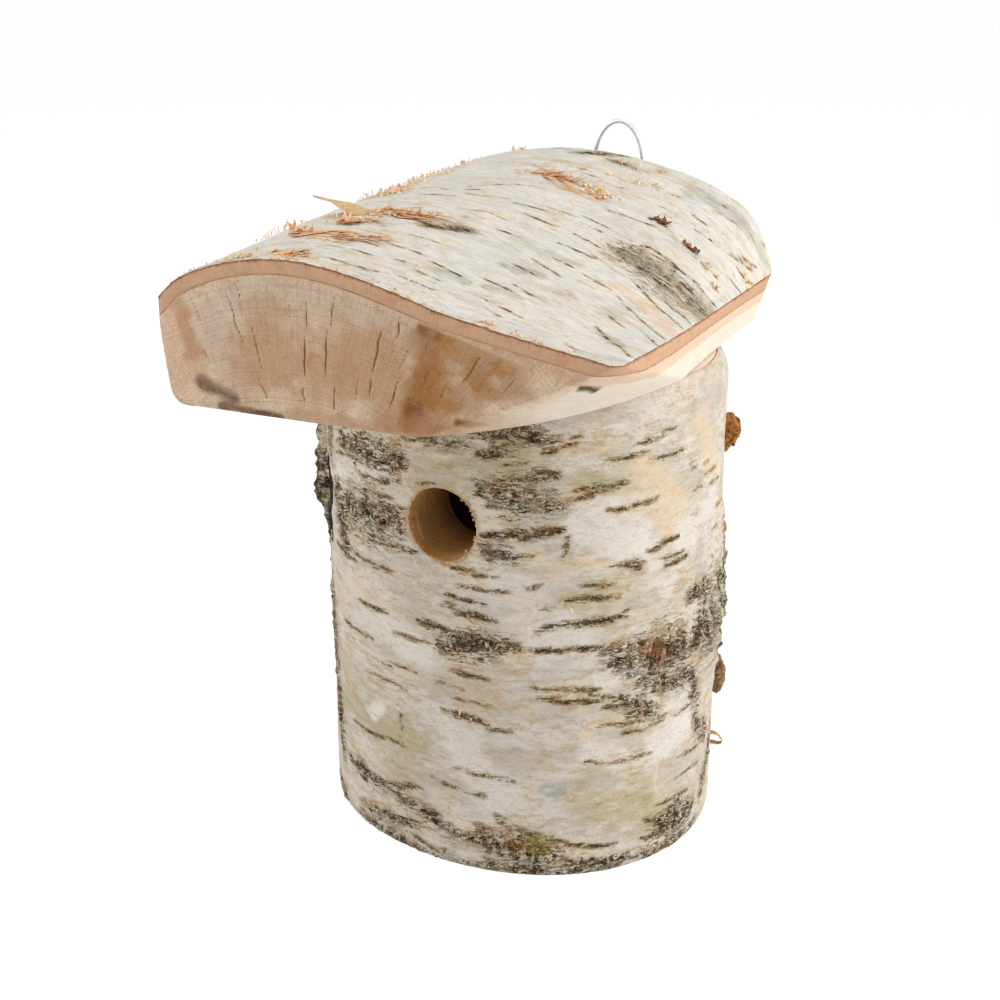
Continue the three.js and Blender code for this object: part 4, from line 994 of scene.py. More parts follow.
def roof_outline(rise, spans):
    """The roof's outline from above at a height over its underside, with so many steps on each stretch."""
    def at(x, y):
        return np.array([x, y], float)

    set_in = 7 * max(0, 1 - rise / 22)
    cut = 1 - flare * min(1, rise / flare_height)
    front_right, back_right = right_front - set_in, right_back - set_in
    rounded_back, rounded_left = roof_back - back_rounding, roof_left + back_rounding
    corner = at(front_right, roof_front)
    corner_start = at(front_right - corner_cut_across * cut, roof_front)
    corner_end = at(front_right - 7 * cut, roof_front + corner_cut_along * cut)
    side_end = at(back_right, rounded_back)
    back_start = at(back_right - back_rounding, roof_back)
    front_left = roof_left + front_left_rounding, roof_front + front_left_rounding
    stretches = [
        (corner_start, corner + (at(corner_start[0], corner_end[1]) - corner) * 0.3, corner_end),
        (corner_end, at(back_right, (corner_end[1] + side_end[1]) / 2), side_end),
        (side_end, at(back_right, roof_back), back_start),
        (back_start, None, at(rounded_left, roof_back)),
        (at(rounded_left, roof_back), at(roof_left, roof_back), at(roof_left, rounded_back)),
        (at(roof_left, rounded_back), None, at(roof_left, front_left[1])),
        (at(roof_left, front_left[1]), at(roof_left, roof_front), at(front_left[0], roof_front)),
        (at(front_left[0], roof_front), None, corner_start)]
    parts = []
    for (first, pull, last), steps in zip(stretches, spans):
        pull = (first + last) / 2 if pull is None else pull
        parts.append(curve(first, pull, last, np.arange(steps) / steps))
    return np.concatenate(parts)


roof_middle = np.array([0.0, -32.0])
plan_steps = 6000
plan_angles = np.linspace(-math.pi, math.pi, plan_steps + 1)
plan_rows = []
for plan_rise in range(flare_height + 1):
    off_x, off_y = (roof_outline(plan_rise, [400] * 8) - roof_middle).T
    plan_rows.append(np.interp(
        plan_angles, np.arctan2(off_y, off_x), np.hypot(off_x, off_y), period=2 * math.pi))
plan_table = np.array(plan_rows)


def roof_reach(angle, rise):
    """How far the roof's outline is from its middle, by direction and height, blended from the table."""
    row = np.clip(rise / flare_height, 0, 1) * flare_height
    column = (angle + math.pi) / (2 * math.pi) * plan_steps
    r0 = np.minimum(row.astype(int), flare_height - 1)
    c0 = np.clip(column.astype(int), 0, plan_steps - 1)
    r, c = row - r0, column - c0
    low = plan_table[r0, c0] * (1 - c) + plan_table[r0, c0 + 1] * c
    high = plan_table[r0 + 1, c0] * (1 - c) + plan_table[r0 + 1, c0 + 1] * c
    return low * (1 - r) + high * r


def on_plan(angle, rise):
    """The places on the roof's side walls for directions and heights, with the left side's lean."""
    reach = roof_reach(angle, rise)
    x = np.maximum(roof_middle[0] + reach * np.cos(angle), left_limit(rise))
    return x, roof_middle[1] + reach * np.sin(angle)


def left_limit(rise):
    """How far left the leaning left side goes at a height over the underside, its lower edge rounded."""
    lean = roof_left + 4.5 * np.clip((36 - rise) / 27, 0, 1)
    rounded = roof_left + 4.5 + 9 * (1 - np.sqrt(np.clip(rise / 9, 0, 1))) ** 2
    return np.maximum(lean, np.where(rise < 9, rounded, -200))


roof_wood = wood_material("roof wood", "XZY", (-30, 0, 148), 1.25, True, 0.6)
drying_cracks = [
    (-73.1, 44.4, -68.1, 32.6), (-57.4, 47.3, -51.2, 27.1), (-52.4, 49.3, -50.7, 42.0),
    (-46.7, 36.7, -43.1, 17.6), (-45.0, 15.1, -40.7, 5.5), (-30.3, 45.8, -29.9, 38.8),
    (-22.8, 46.2, -23.2, 36.1), (-24.6, 34.5, -24.6, 15.6), (-26.3, 15.4, -25.0, 6.7),
    (-11.0, 48.8, -13.1, 37.2), (-14.4, 36.3, -16.1, 16.6), (-12.3, 15.9, -13.2, 5.1),
    (7.8, 38.6, 4.1, 22.3), (3.2, 20.7, 2.6, 12.4), (16.0, 43.8, 13.4, 35.2), (19.0, 34.0, 14.7, 24.3),
    (14.7, 22.1, 9.9, 8.4), (27.3, 37.8, 24.0, 29.8), (26.8, 27.2, 23.8, 18.0), (33.4, 21.3, 30.2, 14.3),
    (46.8, 33.8, 39.7, 22.1), (60.9, 27.5, 55.9, 21.1), (-39.4, 50.9, -39.3, 45.7),
    (-70.1, 24.7, -66.0, 18.5), (-64.4, 16.4, -61.5, 12.0), (-2.2, 19.7, -4.1, 10.4)]
crack_half_widths = [
    0.2, 0.3, 0.2, 0.32, 0.28, 0.18, 0.3, 0.38, 0.3, 0.3, 0.38, 0.32, 0.4, 0.3, 0.32, 0.2, 0.32, 0.2, 0.22,
    0.2, 0.34, 0.2, 0.14, 0.22, 0.2, 0.2]
slab_stains = [
    ("grey", -50, 46, 14, 46, 10, 0.7), ("grey", -66, 36, -56, 14, 8, 0.8),
    ("tan", -40, 24, 10, 20, 15, 0.75), ("pink", -86, 40, -82, 10, 8, 0.9),
    ("orange", -77, 34, -71, 14, 4, 0.8), ("orange", -80, 41, -76, 38, 4, 0.6),
    ("cream", -72, 14, -66, 16, 4, 0.6), ("dark", -70, 10, -56, 5, 2.6, 0.8),
    ("dark", -62, 2, -36, 0.3, 1.6, 0.9), ("rust", -30, 1, 60, 2, 4, 0.45),
    ("amber", 28, 37, 30, 12, 9, 0.75), ("amber", 36, 36, 60, 28, 8, 0.7),
    ("amber", 40, 16, 46, 24, 9, 0.55), ("brown", 23, 19, 20, 8, 4.8, 0.9),
    ("umber", 20.5, 12, 18.5, 5, 3.2, 0.95), ("brown", 28, 31, 22.5, 19, 4.4, 0.7),
    ("umber", 24, 40.5, 29, 39, 2.2, 0.7), ("umber", 38, 8, 44, 6, 2.0, 0.8), ("rust", 8, 4, 24, 3, 4, 0.6),
    ("brown", 46, 20, 66, 22, 3, 0.5), ("cream", 76, 30, 98, 20, 13, 0.9), ("cream", 62, 10, 90, 6, 6, 0.6),
    ("peach", 88, 18, 94, 17, 5, 0.7)]
slab_stain_colours = {
    "grey": (224, 206, 190), "tan": (204, 164, 126), "pink": (238, 212, 188), "orange": (212, 168, 128),
    "cream": (236, 218, 194), "dark": (118, 80, 60), "rust": (196, 150, 112), "amber": (184, 138, 84),
    "brown": (176, 122, 66), "umber": (146, 90, 36), "knot": (78, 60, 36), "peach": (238, 200, 166)}
slab_rows = 66
wall_plan = roof_outline(25, [100, 110, 14, 75, 14, 144, 10, 270]) - roof_middle
wall_angles = np.arctan2(wall_plan[:, 1], wall_plan[:, 0])
around = len(wall_angles)
slab_shares = np.linspace(0, 1, slab_rows)[:, None]
top_rise = np.full(around, 30.0)
for _ in range(8):
    edge_x, edge_y = on_plan(wall_angles, top_rise)
    top_rise = arch_below(edge_x, edge_y, roof_bark_depth + 0.06) - roof_under
rise_grid = top_rise * slab_shares
wall_x, wall_y = on_plan(np.broadcast_to(wall_angles, rise_grid.shape), rise_grid)
wall_points = np.stack([wall_x, wall_y, rise_grid + roof_under], axis=-1)
facing = np.roll(wall_points, -1, axis=1) - np.roll(wall_points, 1, axis=1)
outward = np.stack([facing[..., 1], -facing[..., 0]], axis=-1)
outward /= np.maximum(np.linalg.norm(outward, axis=-1), 1e-9)[..., None]
on_front = np.clip((-outward[..., 1] - 0.5) / 0.3, 0, 1) * (wall_points[..., 1] < -80)
crack_rows = [(*ends, half * 0.95 + 0.04, 1) for ends, half in zip(drying_cracks, crack_half_widths)]
crack_drift = cloud(wall_points, (5, 5, 4), 101, 2) * 0.45
crack_field = run_field(wall_points[..., 0] + crack_drift, rise_grid, crack_rows, 1.0, 0.4) * on_front
sawn = cloud(wall_points, (3, 20, 1.1), 111, 3) * 0.05 + cloud(wall_points, 26, 121, 2) * 0.25
push = sawn - np.clip(crack_field - 0.4, 0, 0.6) * 1.1
shrink = np.exp(-rise_grid / 0.7) * 0.7
wall_points[..., :2] += outward * (push - shrink)[..., None]
slab_warp = cloud(wall_points, 9, 131, 5) * 0.5
slab_stain = soft_stains(wall_points[..., 0], rise_grid, slab_stains, slab_stain_colours, slab_warp)
slab_stain[..., 3] *= on_front
side_colour, inner_bark = np.array(paint(242, 231, 215)[:3]), np.array(paint(232, 202, 174)[:3])
on_back = np.clip((outward[..., 1] - 0.5) / 0.3, 0, 1)
rest_weight = ((1 - on_front) * (1 - 0.45 * on_back))[..., None]
lay_over(slab_stain, side_colour, rest_weight, 0.75)

# The dark knot on the corner runs round it, so it goes by x + y, and the inner bark tints the rim
knot_places = [("knot", -67, 28.8, -62, 27.5, 1.6, 1), ("knot", -61, 25.3, -49, 20.8, 2.2, 1)]
round_corner = wall_points[..., 0] + wall_points[..., 1]
knots = soft_stains(round_corner, rise_grid, knot_places, slab_stain_colours, slab_warp)
lay_over(slab_stain, knots[..., :3], knots[..., 3:] * (wall_points[..., 0] > 60)[..., None])
under_bark = top_rise - rise_grid + slab_warp * 1.2
pink_depth = 0.8 + 4.7 * np.clip((wall_points[..., 0] - 30) / 55, 0, 1)
pinkness = (np.clip((pink_depth - under_bark) / 1.2 + 0.5, 0, 1) * 0.9)[..., None]
lay_over(slab_stain, inner_bark, pinkness)
slab_cuts = np.zeros((*crack_field.shape, 4))
slab_cuts[..., 0] = crack_field
slab_cuts[..., 1] = (1 - on_front) * (1 - 0.8 * on_back)
slab_cuts[..., 3] = 1

wall_numbers = np.arange(slab_rows * around).reshape(slab_rows, around)
ring_place = np.arange(around) / around


def inner_patch(outline, first_number, height_at, count=18):
    """Rings that shrink an outline to a point, for the flat underside and the hidden top."""
    every = 9
    shares = np.linspace(0.97, 0, count)[:-1]
    plan = roof_middle + (outline[None, ::every] - roof_middle) * shares[:, None, None]
    points = np.concatenate([plan, height_at(plan[..., 0], plan[..., 1])[..., None]], axis=-1)
    numbers = first_number + np.arange(points.shape[0] * points.shape[1]).reshape(points.shape[:2])
    tip = np.array([[*roof_middle, float(height_at(roof_middle[:1], roof_middle[1:])[0])]])
    tip_number = numbers[-1, -1] + 1
    fan = np.column_stack([numbers[-1], np.roll(numbers[-1], -1), np.full(numbers.shape[1], tip_number)])
    place = np.arange(0, len(outline), every) / len(outline)
    return np.concatenate([points.reshape(-1, 3), tip]), numbers, place, fan


def flat_underside(x, y):
    """The same height everywhere."""
    return np.full(np.shape(x), roof_under)


def hidden_top(x, y):
    """Just below the underside of the bark."""
    return arch_below(x, y, roof_bark_depth + gap + 0.2)


first_under = slab_rows * around
under_points, under_numbers, under_place, under_fan = inner_patch(
    wall_points[0, :, :2], first_under, flat_underside)
top_points, top_grid, top_place, top_fan = inner_patch(
    wall_points[-1, :, :2], first_under + len(under_points), hidden_top)
slab_points = np.concatenate([wall_points.reshape(-1, 3), under_points, top_points])
added = len(under_points) + len(top_points)
all_slab_stain = np.concatenate([slab_stain.reshape(-1, 4), np.tile([*side_colour, 0.6], (added, 1))])
all_slab_cuts = np.concatenate([slab_cuts.reshape(-1, 4), np.tile([0, 0, 0, 1], (added, 1))])
roof_slab = build_mesh("sawn_roof_slab", slab_points, [
    grid_faces(wall_numbers, closed=True),
    grid_faces(under_numbers, closed=True),
    grid_faces(top_grid, closed=True),
    np.concatenate([
        zip_rings(wall_numbers[0], ring_place, under_numbers[0], under_place), under_fan,
        zip_rings(wall_numbers[-1], ring_place, top_grid[0], top_place), top_fan]),
], [roof_wood], None, {"stain": all_slab_stain, "cuts": all_slab_cuts}, sharp=45)
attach(roof_slab, "roof")
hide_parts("roof_slab")

# The roof's bark, 6 mm thick: white above with fine dark dashes across the trunk and one large old scar.
# Each row of marks is x and y at both ends, half width in mm, and strength.
roof_dashes = [
    (2.9, -22.2, 16, -18.5, 0.3, 0.8), (11.2, -29.6, 23, -30.2, 0.4, 1), (14, -13.6, 26.3, -12.7, 0.3, 0.8),
    (26.1, -8.4, 50.7, -9.6, 0.3, 0.9), (32.5, 8.8, 52, 14.2, 0.3, 0.9), (11, -57.6, 20.2, -56.4, 0.3, 0.8),
    (33.1, -30.4, 44.4, -30.5, 0.4, 0.9), (32.5, -15.7, 39.9, -15.4, 0.2, 0.6),
    (32.6, -45.7, 48.4, -44.2, 0.5, 1), (47.6, -42.2, 60.8, -46.4, 0.6, 0.8),
    (45.5, -14.2, 56.3, -16.5, 0.2, 0.5), (17.5, -68.7, 26.7, -70, 0.2, 0.5),
    (27.6, -72.1, 46.6, -75.7, 0.3, 0.8), (37.6, -62.3, 46.2, -62.4, 0.3, 0.8),
    (48.5, -63.4, 62.9, -65.5, 0.3, 0.9), (22.5, -83.6, 40.1, -85.5, 0.4, 1),
    (28.9, -107.4, 42.5, -108.6, 0.4, 1), (38.2, -102.1, 54.5, -106.3, 0.4, 0.9),
    (18.5, -112.5, 26.3, -114.5, 0.4, 0.9), (34.7, -123.6, 53.4, -128.1, 0.3, 0.8),
    (38.8, -130.5, 54.3, -137.7, 0.2, 0.6), (72.4, -104.6, 94.4, -128.7, 0.6, 1),
    (83.5, -87.4, 95.6, -99.2, 0.5, 1), (64.2, -45.5, 90.2, -60.5, 0.4, 0.9),
    (66.2, -66.8, 92.2, -84.6, 0.3, 0.8), (54.9, -29.8, 68.7, -26.4, 0.4, 0.9),
    (59.6, -30.7, 69.9, -32.3, 0.8, 1), (65.4, -17.1, 69.5, -20.4, 0.9, 1),
    (60.3, -11.4, 79.6, -6.8, 0.5, 0.9), (72.4, -31, 79.8, -27.4, 0.7, 0.9),
    (44.4, 36.4, 55.1, 37.4, 0.2, 0.5), (63.7, 35.1, 73.6, 35.3, 0.3, 0.7),
    (65.5, 62.7, 79.1, 68.2, 0.2, 0.6), (77.7, 39, 85.3, 52.7, 0.4, 0.8), (79.8, 45.8, 85, 60.5, 0.2, 0.6),
    (80.5, 77.8, 84, 85.2, 0.2, 0.6), (82.5, 24.4, 88.9, 24.4, 0.3, 0.8), (2.5, 49.4, 10.4, 48.5, 0.2, 0.8),
    (15.9, 37.5, 29.2, 39, 0.2, 0.7), (7.4, 42.6, 16.4, 41.6, 0.2, 0.6), (-21.7, -12.9, -1.3, 2.4, 0.2, 0.5),
    (-31.6, -23, -23.7, -21.9, 0.2, 0.6), (-17.1, -26.9, -0.9, -19.4, 0.2, 0.6),
    (-25.6, -35, -19.8, -34.1, 0.2, 0.6), (-7.4, -56.4, 1.5, -55.2, 0.2, 0.7),
    (-1.9, -43.7, 9.3, -44.2, 0.3, 0.8), (-7.7, -48.6, 1.8, -43.1, 0.2, 0.5),
    (41.7, 54.3, 51, 58.3, 0.3, 0.4), (57.5, 45.6, 66.3, 44.5, 0.2, 0.4), (57.7, 70, 70.5, 74, 0.3, 0.4),
    (74.8, 13.3, 82.1, 13.1, 0.2, 0.5), (70.3, -88, 79.3, -92.7, 0.3, 0.5),
    (74.2, -138.8, 82.8, -143.5, 0.2, 0.5), (-27.1, -125.6, -9.7, -124.7, 0.3, 0.9),
    (-22.6, -140.4, 0.3, -138.2, 0.3, 1), (-10.2, -108.6, 5.2, -108.4, 0.3, 1),
    (-8.3, -92.7, 3.2, -92.6, 0.3, 1), (8.4, -111.1, 26.9, -114.4, 0.3, 1),
    (4.9, -133.6, 24.4, -134.3, 0.3, 1), (-1.5, -121.5, 6.7, -120.1, 0.2, 0.5),
    (8.6, -123.7, 18.6, -124.3, 0.2, 0.5), (-35.5, -36.3, -20.9, -32.9, 0.2, 0.7),
    (-40.9, -45.4, -36.2, -44.6, 0.2, 0.6), (-34.8, -58.8, -22.2, -52.4, 0.2, 0.5),
    (-53.4, -18, -24.8, -20.9, 0.2, 0.5), (-6.3, -58.7, 1.8, -54.1, 0.2, 0.7),
    (-10.7, -49.7, -3.2, -45, 0.2, 0.5), (-21.8, -18.7, -16, -16.3, 0.2, 0.7),
    (-4.4, -140.9, 1.3, -138.4, 0.2, 0.6)]
roof_patches = [
    ("scar", 51.2, -26.5, 56.8, -15.4, 3.5, 0.9), ("scar", 57.4, -24.8, 69.1, -21.8, 6.3, 1),
    ("scar", 66.4, -25.3, 80.9, -27.8, 7.7, 1), ("scar", 76.2, -31, 88.3, -26.7, 7, 1),
    ("scar", 85.6, -33.1, 90.6, -33.6, 2.8, 0.8), ("edge", 50.2, -26.5, 52.8, -12.6, 0.5, 0.8),
    ("edge", 52.8, -12.6, 57.5, -6.3, 0.5, 0.9), ("edge", 57.5, -6.3, 65.4, -6.3, 0.6, 1),
    ("edge", 64.4, -6.1, 73.5, -9.2, 0.6, 0.9), ("edge", 72.3, -8.8, 80.2, -8.6, 0.6, 0.9),
    ("edge", 79.2, -8.5, 90.2, -11.6, 0.5, 0.9), ("edge", 52.4, -29.5, 63.1, -37.3, 0.3, 0.8),
    ("edge", 63.1, -37.3, 74.2, -42.9, 0.4, 0.9), ("edge", 73.7, -42.6, 83.1, -47.9, 0.4, 0.9),
    ("edge", 82.4, -45.7, 91.1, -49.3, 0.6, 1), ("peach", 65.2, -58.1, 84.3, -64.4, 4.2, 0.9),
    ("peach", 77.7, -64.1, 93.2, -74.4, 4.2, 0.9), ("peach", -4.4, -44.8, 10.5, -40.4, 4.2, 0.3),
    ("peach", -15.9, -48.2, -1.9, -41.7, 4.2, 0.3), ("tan", -6.9, 32.5, 5.1, 27.3, 1.7, 1),
    ("tan", 10.9, 13.3, 24.5, 15.9, 3.5, 0.9), ("tan", -21.1, 57.9, 2.6, 54.4, 2.8, 0.4),
    ("tan", -45.5, -114.4, -23.5, -109.6, 2.3, 1), ("tan", -25.3, -99.7, -13.8, -101.9, 1.4, 1),
    ("tan", -43.7, -73.6, -27.3, -67.4, 2, 1), ("tan", -28, -69.8, -13.9, -74.4, 2.3, 1),
    ("tan", -66, -8.5, -53.2, -10.2, 4.1, 0.7), ("tan", -72.4, -100.2, -66.4, -103.1, 1.4, 0.9),
    ("tan", -35.9, -145.6, -25.5, -144.6, 2, 0.8), ("tan", -56.4, -74.4, -39.6, -84.3, 2.7, 1),
    ("dark", -10.7, -78.9, 4.9, -70.2, 2.3, 1), ("dark", -5.9, -74.4, 2.9, -70.6, 3.1, 1),
    ("dark", -9.7, 70.9, 14.7, 86.1, 2.4, 1), ("dark", 9.3, 71, 22.1, 69.3, 1.8, 0.8),
    ("dark", -35.7, 91.7, -10.7, 76.1, 0.8, 0.4), ("smudge", 28.1, -89.9, 41.2, -83.7, 2.8, 0.8),
    ("smudge", 22.2, -59.8, 34.3, -61.1, 4.2, 0.4), ("smudge", 31.8, -113.6, 43.2, -111, 2.1, 0.7),
    ("smudge", 78.1, -110.2, 86.5, -118.7, 2.8, 0.7), ("smudge", 71, -65.9, 71.6, -88.9, 4.2, 0.4),
    ("smudge", 47.9, -92.8, 53.8, -89.6, 2.8, 0.4), ("smudge", 38.2, -61.3, 46.1, -57.4, 2.1, 0.4),
    ("smudge", 53.7, 20.8, 62.2, 14.2, 2.1, 0.5), ("smudge", 52.8, 68.5, 73.2, 72.3, 6.3, 0.6),
    ("smudge", 74.2, 69.3, 82.4, 75.7, 4.2, 0.6), ("smudge", 63, 9, 75.8, 16.6, 2.8, 0.3),
    ("smudge", 14.1, -115.3, 25.4, -116.8, 2.7, 0.6), ("smudge", 82.8, -143.5, 96.4, -136.4, 2.1, 0.4)]
roof_patch_colours = {
    "peach": (232, 204, 176), "tan": (210, 164, 118), "smudge": (160, 160, 144), "scar": (176, 163, 138),
    "dark": (160, 146, 120)}
roof_skin = bark_material(
    "roof bark", "XZY", (233, 231, 224), (224, 221, 211), (200, 199, 188), smudge=0.42, grainy=0.5)
roof_cut = cut_material("roof bark edge", (148, 98, 58), (209, 169, 137), (199, 157, 124))

roof_columns, roof_lines = 176, 344
fine_spans = [300, 1600, 300, 1200, 300, 1800, 100, 1400]
fine_outline = roof_outline(flare_height, fine_spans)
span_ends = np.cumsum(fine_spans)
right_part = fine_outline[:span_ends[2]]
left_part = fine_outline[span_ends[3]:span_ends[6]][::-1]

# Lines across the roof lie closer together at its front and back ends
front_lines, back_lines = 5, 13
tight = np.concatenate([
    np.linspace(0, 0.02, front_lines + 1)[:-1],
    np.linspace(0.02, 0.94, roof_lines - front_lines - back_lines),
    0.94 + 0.06 * np.sin(np.linspace(0, math.pi / 2, back_lines + 1))[1:]])
line_y = roof_front + (roof_back - roof_front) * tight
line_right = np.interp(line_y, right_part[:, 1], right_part[:, 0])
line_left = np.interp(line_y, left_part[:, 1], left_part[:, 0])
probe = np.linspace(0, 1, 400)
probe_x = roof_left + 180 * probe
steep = np.hypot(1, np.gradient((arch(probe_x, roof_back - 5) + arch(probe_x, -80)) / 2, probe_x))
steep_share = np.cumsum(steep) / steep.sum() - steep[0] / steep.sum()
spread = np.interp(np.linspace(0, 1, roof_columns), steep_share, probe)
spread[0], spread[-1] = 0, 1
top_x = line_left[:, None] + (line_right - line_left)[:, None] * spread
top_y = np.broadcast_to(line_y[:, None], top_x.shape)
away_x, away_y = top_x - roof_middle[0], top_y - roof_middle[1]
top_angle = np.arctan2(away_y, away_x)
edge_rise = np.full(top_x.shape, 30.0)
for _ in range(8):
    edge_x, edge_y = on_plan(top_angle, edge_rise)
    edge_rise = arch(edge_x, edge_y) - roof_under
full_reach = roof_reach(top_angle, np.full(top_x.shape, float(flare_height)))
shrink_share = 1 - roof_reach(top_angle, edge_rise) / full_reach
drawn_in = 1 - shrink_share * np.clip(np.hypot(away_x, away_y) / full_reach, 0, 1) ** 8
top_x, top_y = roof_middle[0] + away_x * drawn_in, roof_middle[1] + away_y * drawn_in
top_z = arch(top_x, top_y)
top_place_3d = np.stack([top_x, top_y, top_z], axis=-1)
drift = cloud(top_place_3d, 9, 141, 3)


def patch_rows(*kinds):
    """The roof's patches of some kinds, without their names."""
    return [row for kind, *row in roof_patches if kind in kinds]


dash_rows = [
    (*ends, half * 0.9 + 0.12, strength) for *ends, half, strength in roof_dashes + patch_rows("edge")]
dashes = run_field(top_x, top_y + drift * 0.5, dash_rows, 1.0, 0.9)
dots = cloud(top_place_3d, (2.6, 30, 2.6), 145, 2)
dashes = dashes * (0.82 + np.clip(dots, -0.4, 0.6) * 0.85)
worn_rows = [(*ends, half * 1.25, strength * 0.4) for *ends, half, strength in patch_rows("scar", "dark")]
worn = run_field(top_x + drift * 1.6, top_y + drift * 1.2, worn_rows, 1.0, 4.0)
tinted_rows = [row for row in roof_patches if row[0] != "edge"]
patch_warp = cloud(top_place_3d, 7, 151, 3) * 0.4
patch = soft_stains(top_x, top_y + drift, tinted_rows, roof_patch_colours, patch_warp)
old_here = run_field(top_x + drift * 2, top_y + drift, patch_rows("dark"), 1.0, 3.0)
worn_here = np.clip((worn - 0.3) / 0.3, 0, 1)
old_here = np.maximum(old_here, np.clip(worn * 1.1, 0, 0.46))
ripple = cloud(top_place_3d, (18, 2.2, 18), 161, 3)
lift = cloud(top_place_3d, (40, 26, 40), 171, 3) * 0.5 + ripple * 0.1
lift += np.clip((dashes - 0.4) / 0.3, 0, 1) * -0.15 + worn_here * (ripple * 0.7 - 0.3)
border = np.minimum.reduce([
    top_x - line_left[:, None], line_right[:, None] - top_x, top_y - roof_front, roof_back - top_y])
lift = lift * np.clip(border / 4 + 0.25, 0, 1) - np.exp(-np.maximum(border, 0) / 0.5) * 0.3
top_z = top_z + lift
torn = cloud(top_place_3d, 1.6, 181, 2) * np.exp(-np.maximum(border, 0) / 0.6) * 0.22
# The depth mark, painted as shade on the old patches: lower where the bark lies lower and towards its edges.
roof_depth_shade = np.clip(0.5 + lift * 0.4, 0, 1)
top_marks = np.stack([dashes, np.maximum(old_here, 0), roof_depth_shade, np.ones_like(roof_depth_shade)], axis=-1)
top_numbers_grid = np.arange(roof_lines * roof_columns).reshape(roof_lines, roof_columns)
border_numbers = np.concatenate([
    top_numbers_grid[0, :-1], top_numbers_grid[:-1, -1], top_numbers_grid[-1, :0:-1],
    top_numbers_grid[:0:-1, 0]])
top_flat = np.stack([top_x, top_y, top_z + torn], axis=-1).reshape(-1, 3)
edge_points = top_flat[border_numbers]

# The sawn edge of the bark is a band down its thickness, and its hidden underside is coarse
band_rows = 8
band_angle = np.arctan2(edge_points[:, 1] - roof_middle[1], edge_points[:, 0] - roof_middle[0])
away_plan = np.column_stack([np.cos(band_angle), np.sin(band_angle)])
band_share = np.linspace(0, 1, band_rows)[1:, None]
band_low = arch_below(edge_points[:, 0], edge_points[:, 1], roof_bark_depth)
for _ in range(6):
    low_x, low_y = on_plan(band_angle, band_low - roof_under)
    band_low = arch_below(low_x, low_y, roof_bark_depth)
band_z = edge_points[:, 2] + (band_low - edge_points[:, 2]) * band_share
band_x, band_y = on_plan(np.broadcast_to(band_angle, band_z.shape), band_z - roof_under)
blend_in = np.clip(band_share * 4, 0, 1)[..., None]
band_xy = np.stack([band_x, band_y], axis=-1) * blend_in + edge_points[None, :, :2] * (1 - blend_in)
band_wobble = cloud(np.concatenate([band_xy, band_z[..., None]], axis=-1), (2.4, 2.4, 6), 191, 3) * 0.12
band_xy = band_xy + away_plan * band_wobble[..., None]
band_points = np.concatenate([band_xy, band_z[..., None]], axis=-1)
ring_length = len(border_numbers)
band_numbers = len(top_flat) + np.arange(band_points.shape[0] * ring_length).reshape(-1, ring_length)
twin_numbers = band_numbers[-1, -1] + 1 + np.arange(ring_length)
band_marks = np.zeros((band_points.shape[0], ring_length, 4))
band_marks[..., 2] = band_share
band_marks[..., 3] = 1
inner_points, inner_numbers, inner_place, inner_fan = inner_patch(
    band_points[-1, :, :2], twin_numbers[-1] + 1, lambda x, y: arch_below(x, y, roof_bark_depth - 0.1))
twin_marks = np.tile([0, 0, 0, 1], (ring_length, 1))
inner_marks = np.tile([0, 0, 1, 1], (len(inner_points), 1))
roof_points = np.concatenate([top_flat, band_points.reshape(-1, 3), edge_points, inner_points])
roof_marks = np.concatenate([top_marks.reshape(-1, 4), band_marks.reshape(-1, 4), twin_marks, inner_marks])
roof_stain = np.concatenate([patch.reshape(-1, 4), np.zeros((len(roof_points) - len(top_flat), 4))])
band_place = np.arange(ring_length) / ring_length
roof_bark = build_mesh("birch_bark_on_roof", roof_points, [
    grid_faces(top_numbers_grid),
    np.concatenate([loop_faces(twin_numbers, band_numbers[0]), grid_faces(band_numbers, closed=True)]),
    grid_faces(inner_numbers, closed=True),
    np.concatenate([zip_rings(band_numbers[-1], band_place, inner_numbers[0], inner_place), inner_fan]),
], [roof_skin, roof_cut], [0, 1, 1, 1], {"marks": roof_marks, "stain": roof_stain}, sharp=50)
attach(roof_bark, "roof")
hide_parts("roof_bark")

# Torn fibres, flakes and shavings that the saw left on the roof, and frayed bark and paper curls on the log.
# Each strip is a thin four-sided sliver along a curling path.
def sliver_material(name, light, dark):
    """Dull wood or bark, mottled between two colours."""
    material, shader, place = new_material(name)
    mottled = grain(place, (0.6, 0.6, 0.6), 4, 0.65)
    fine = grain(place, (3, 3, 3), 3)
    dress(shader, ramp(mottled, (0.35, dark), (0.62, light)), 0.8, fine, 0.4, 0.0002)
    return material


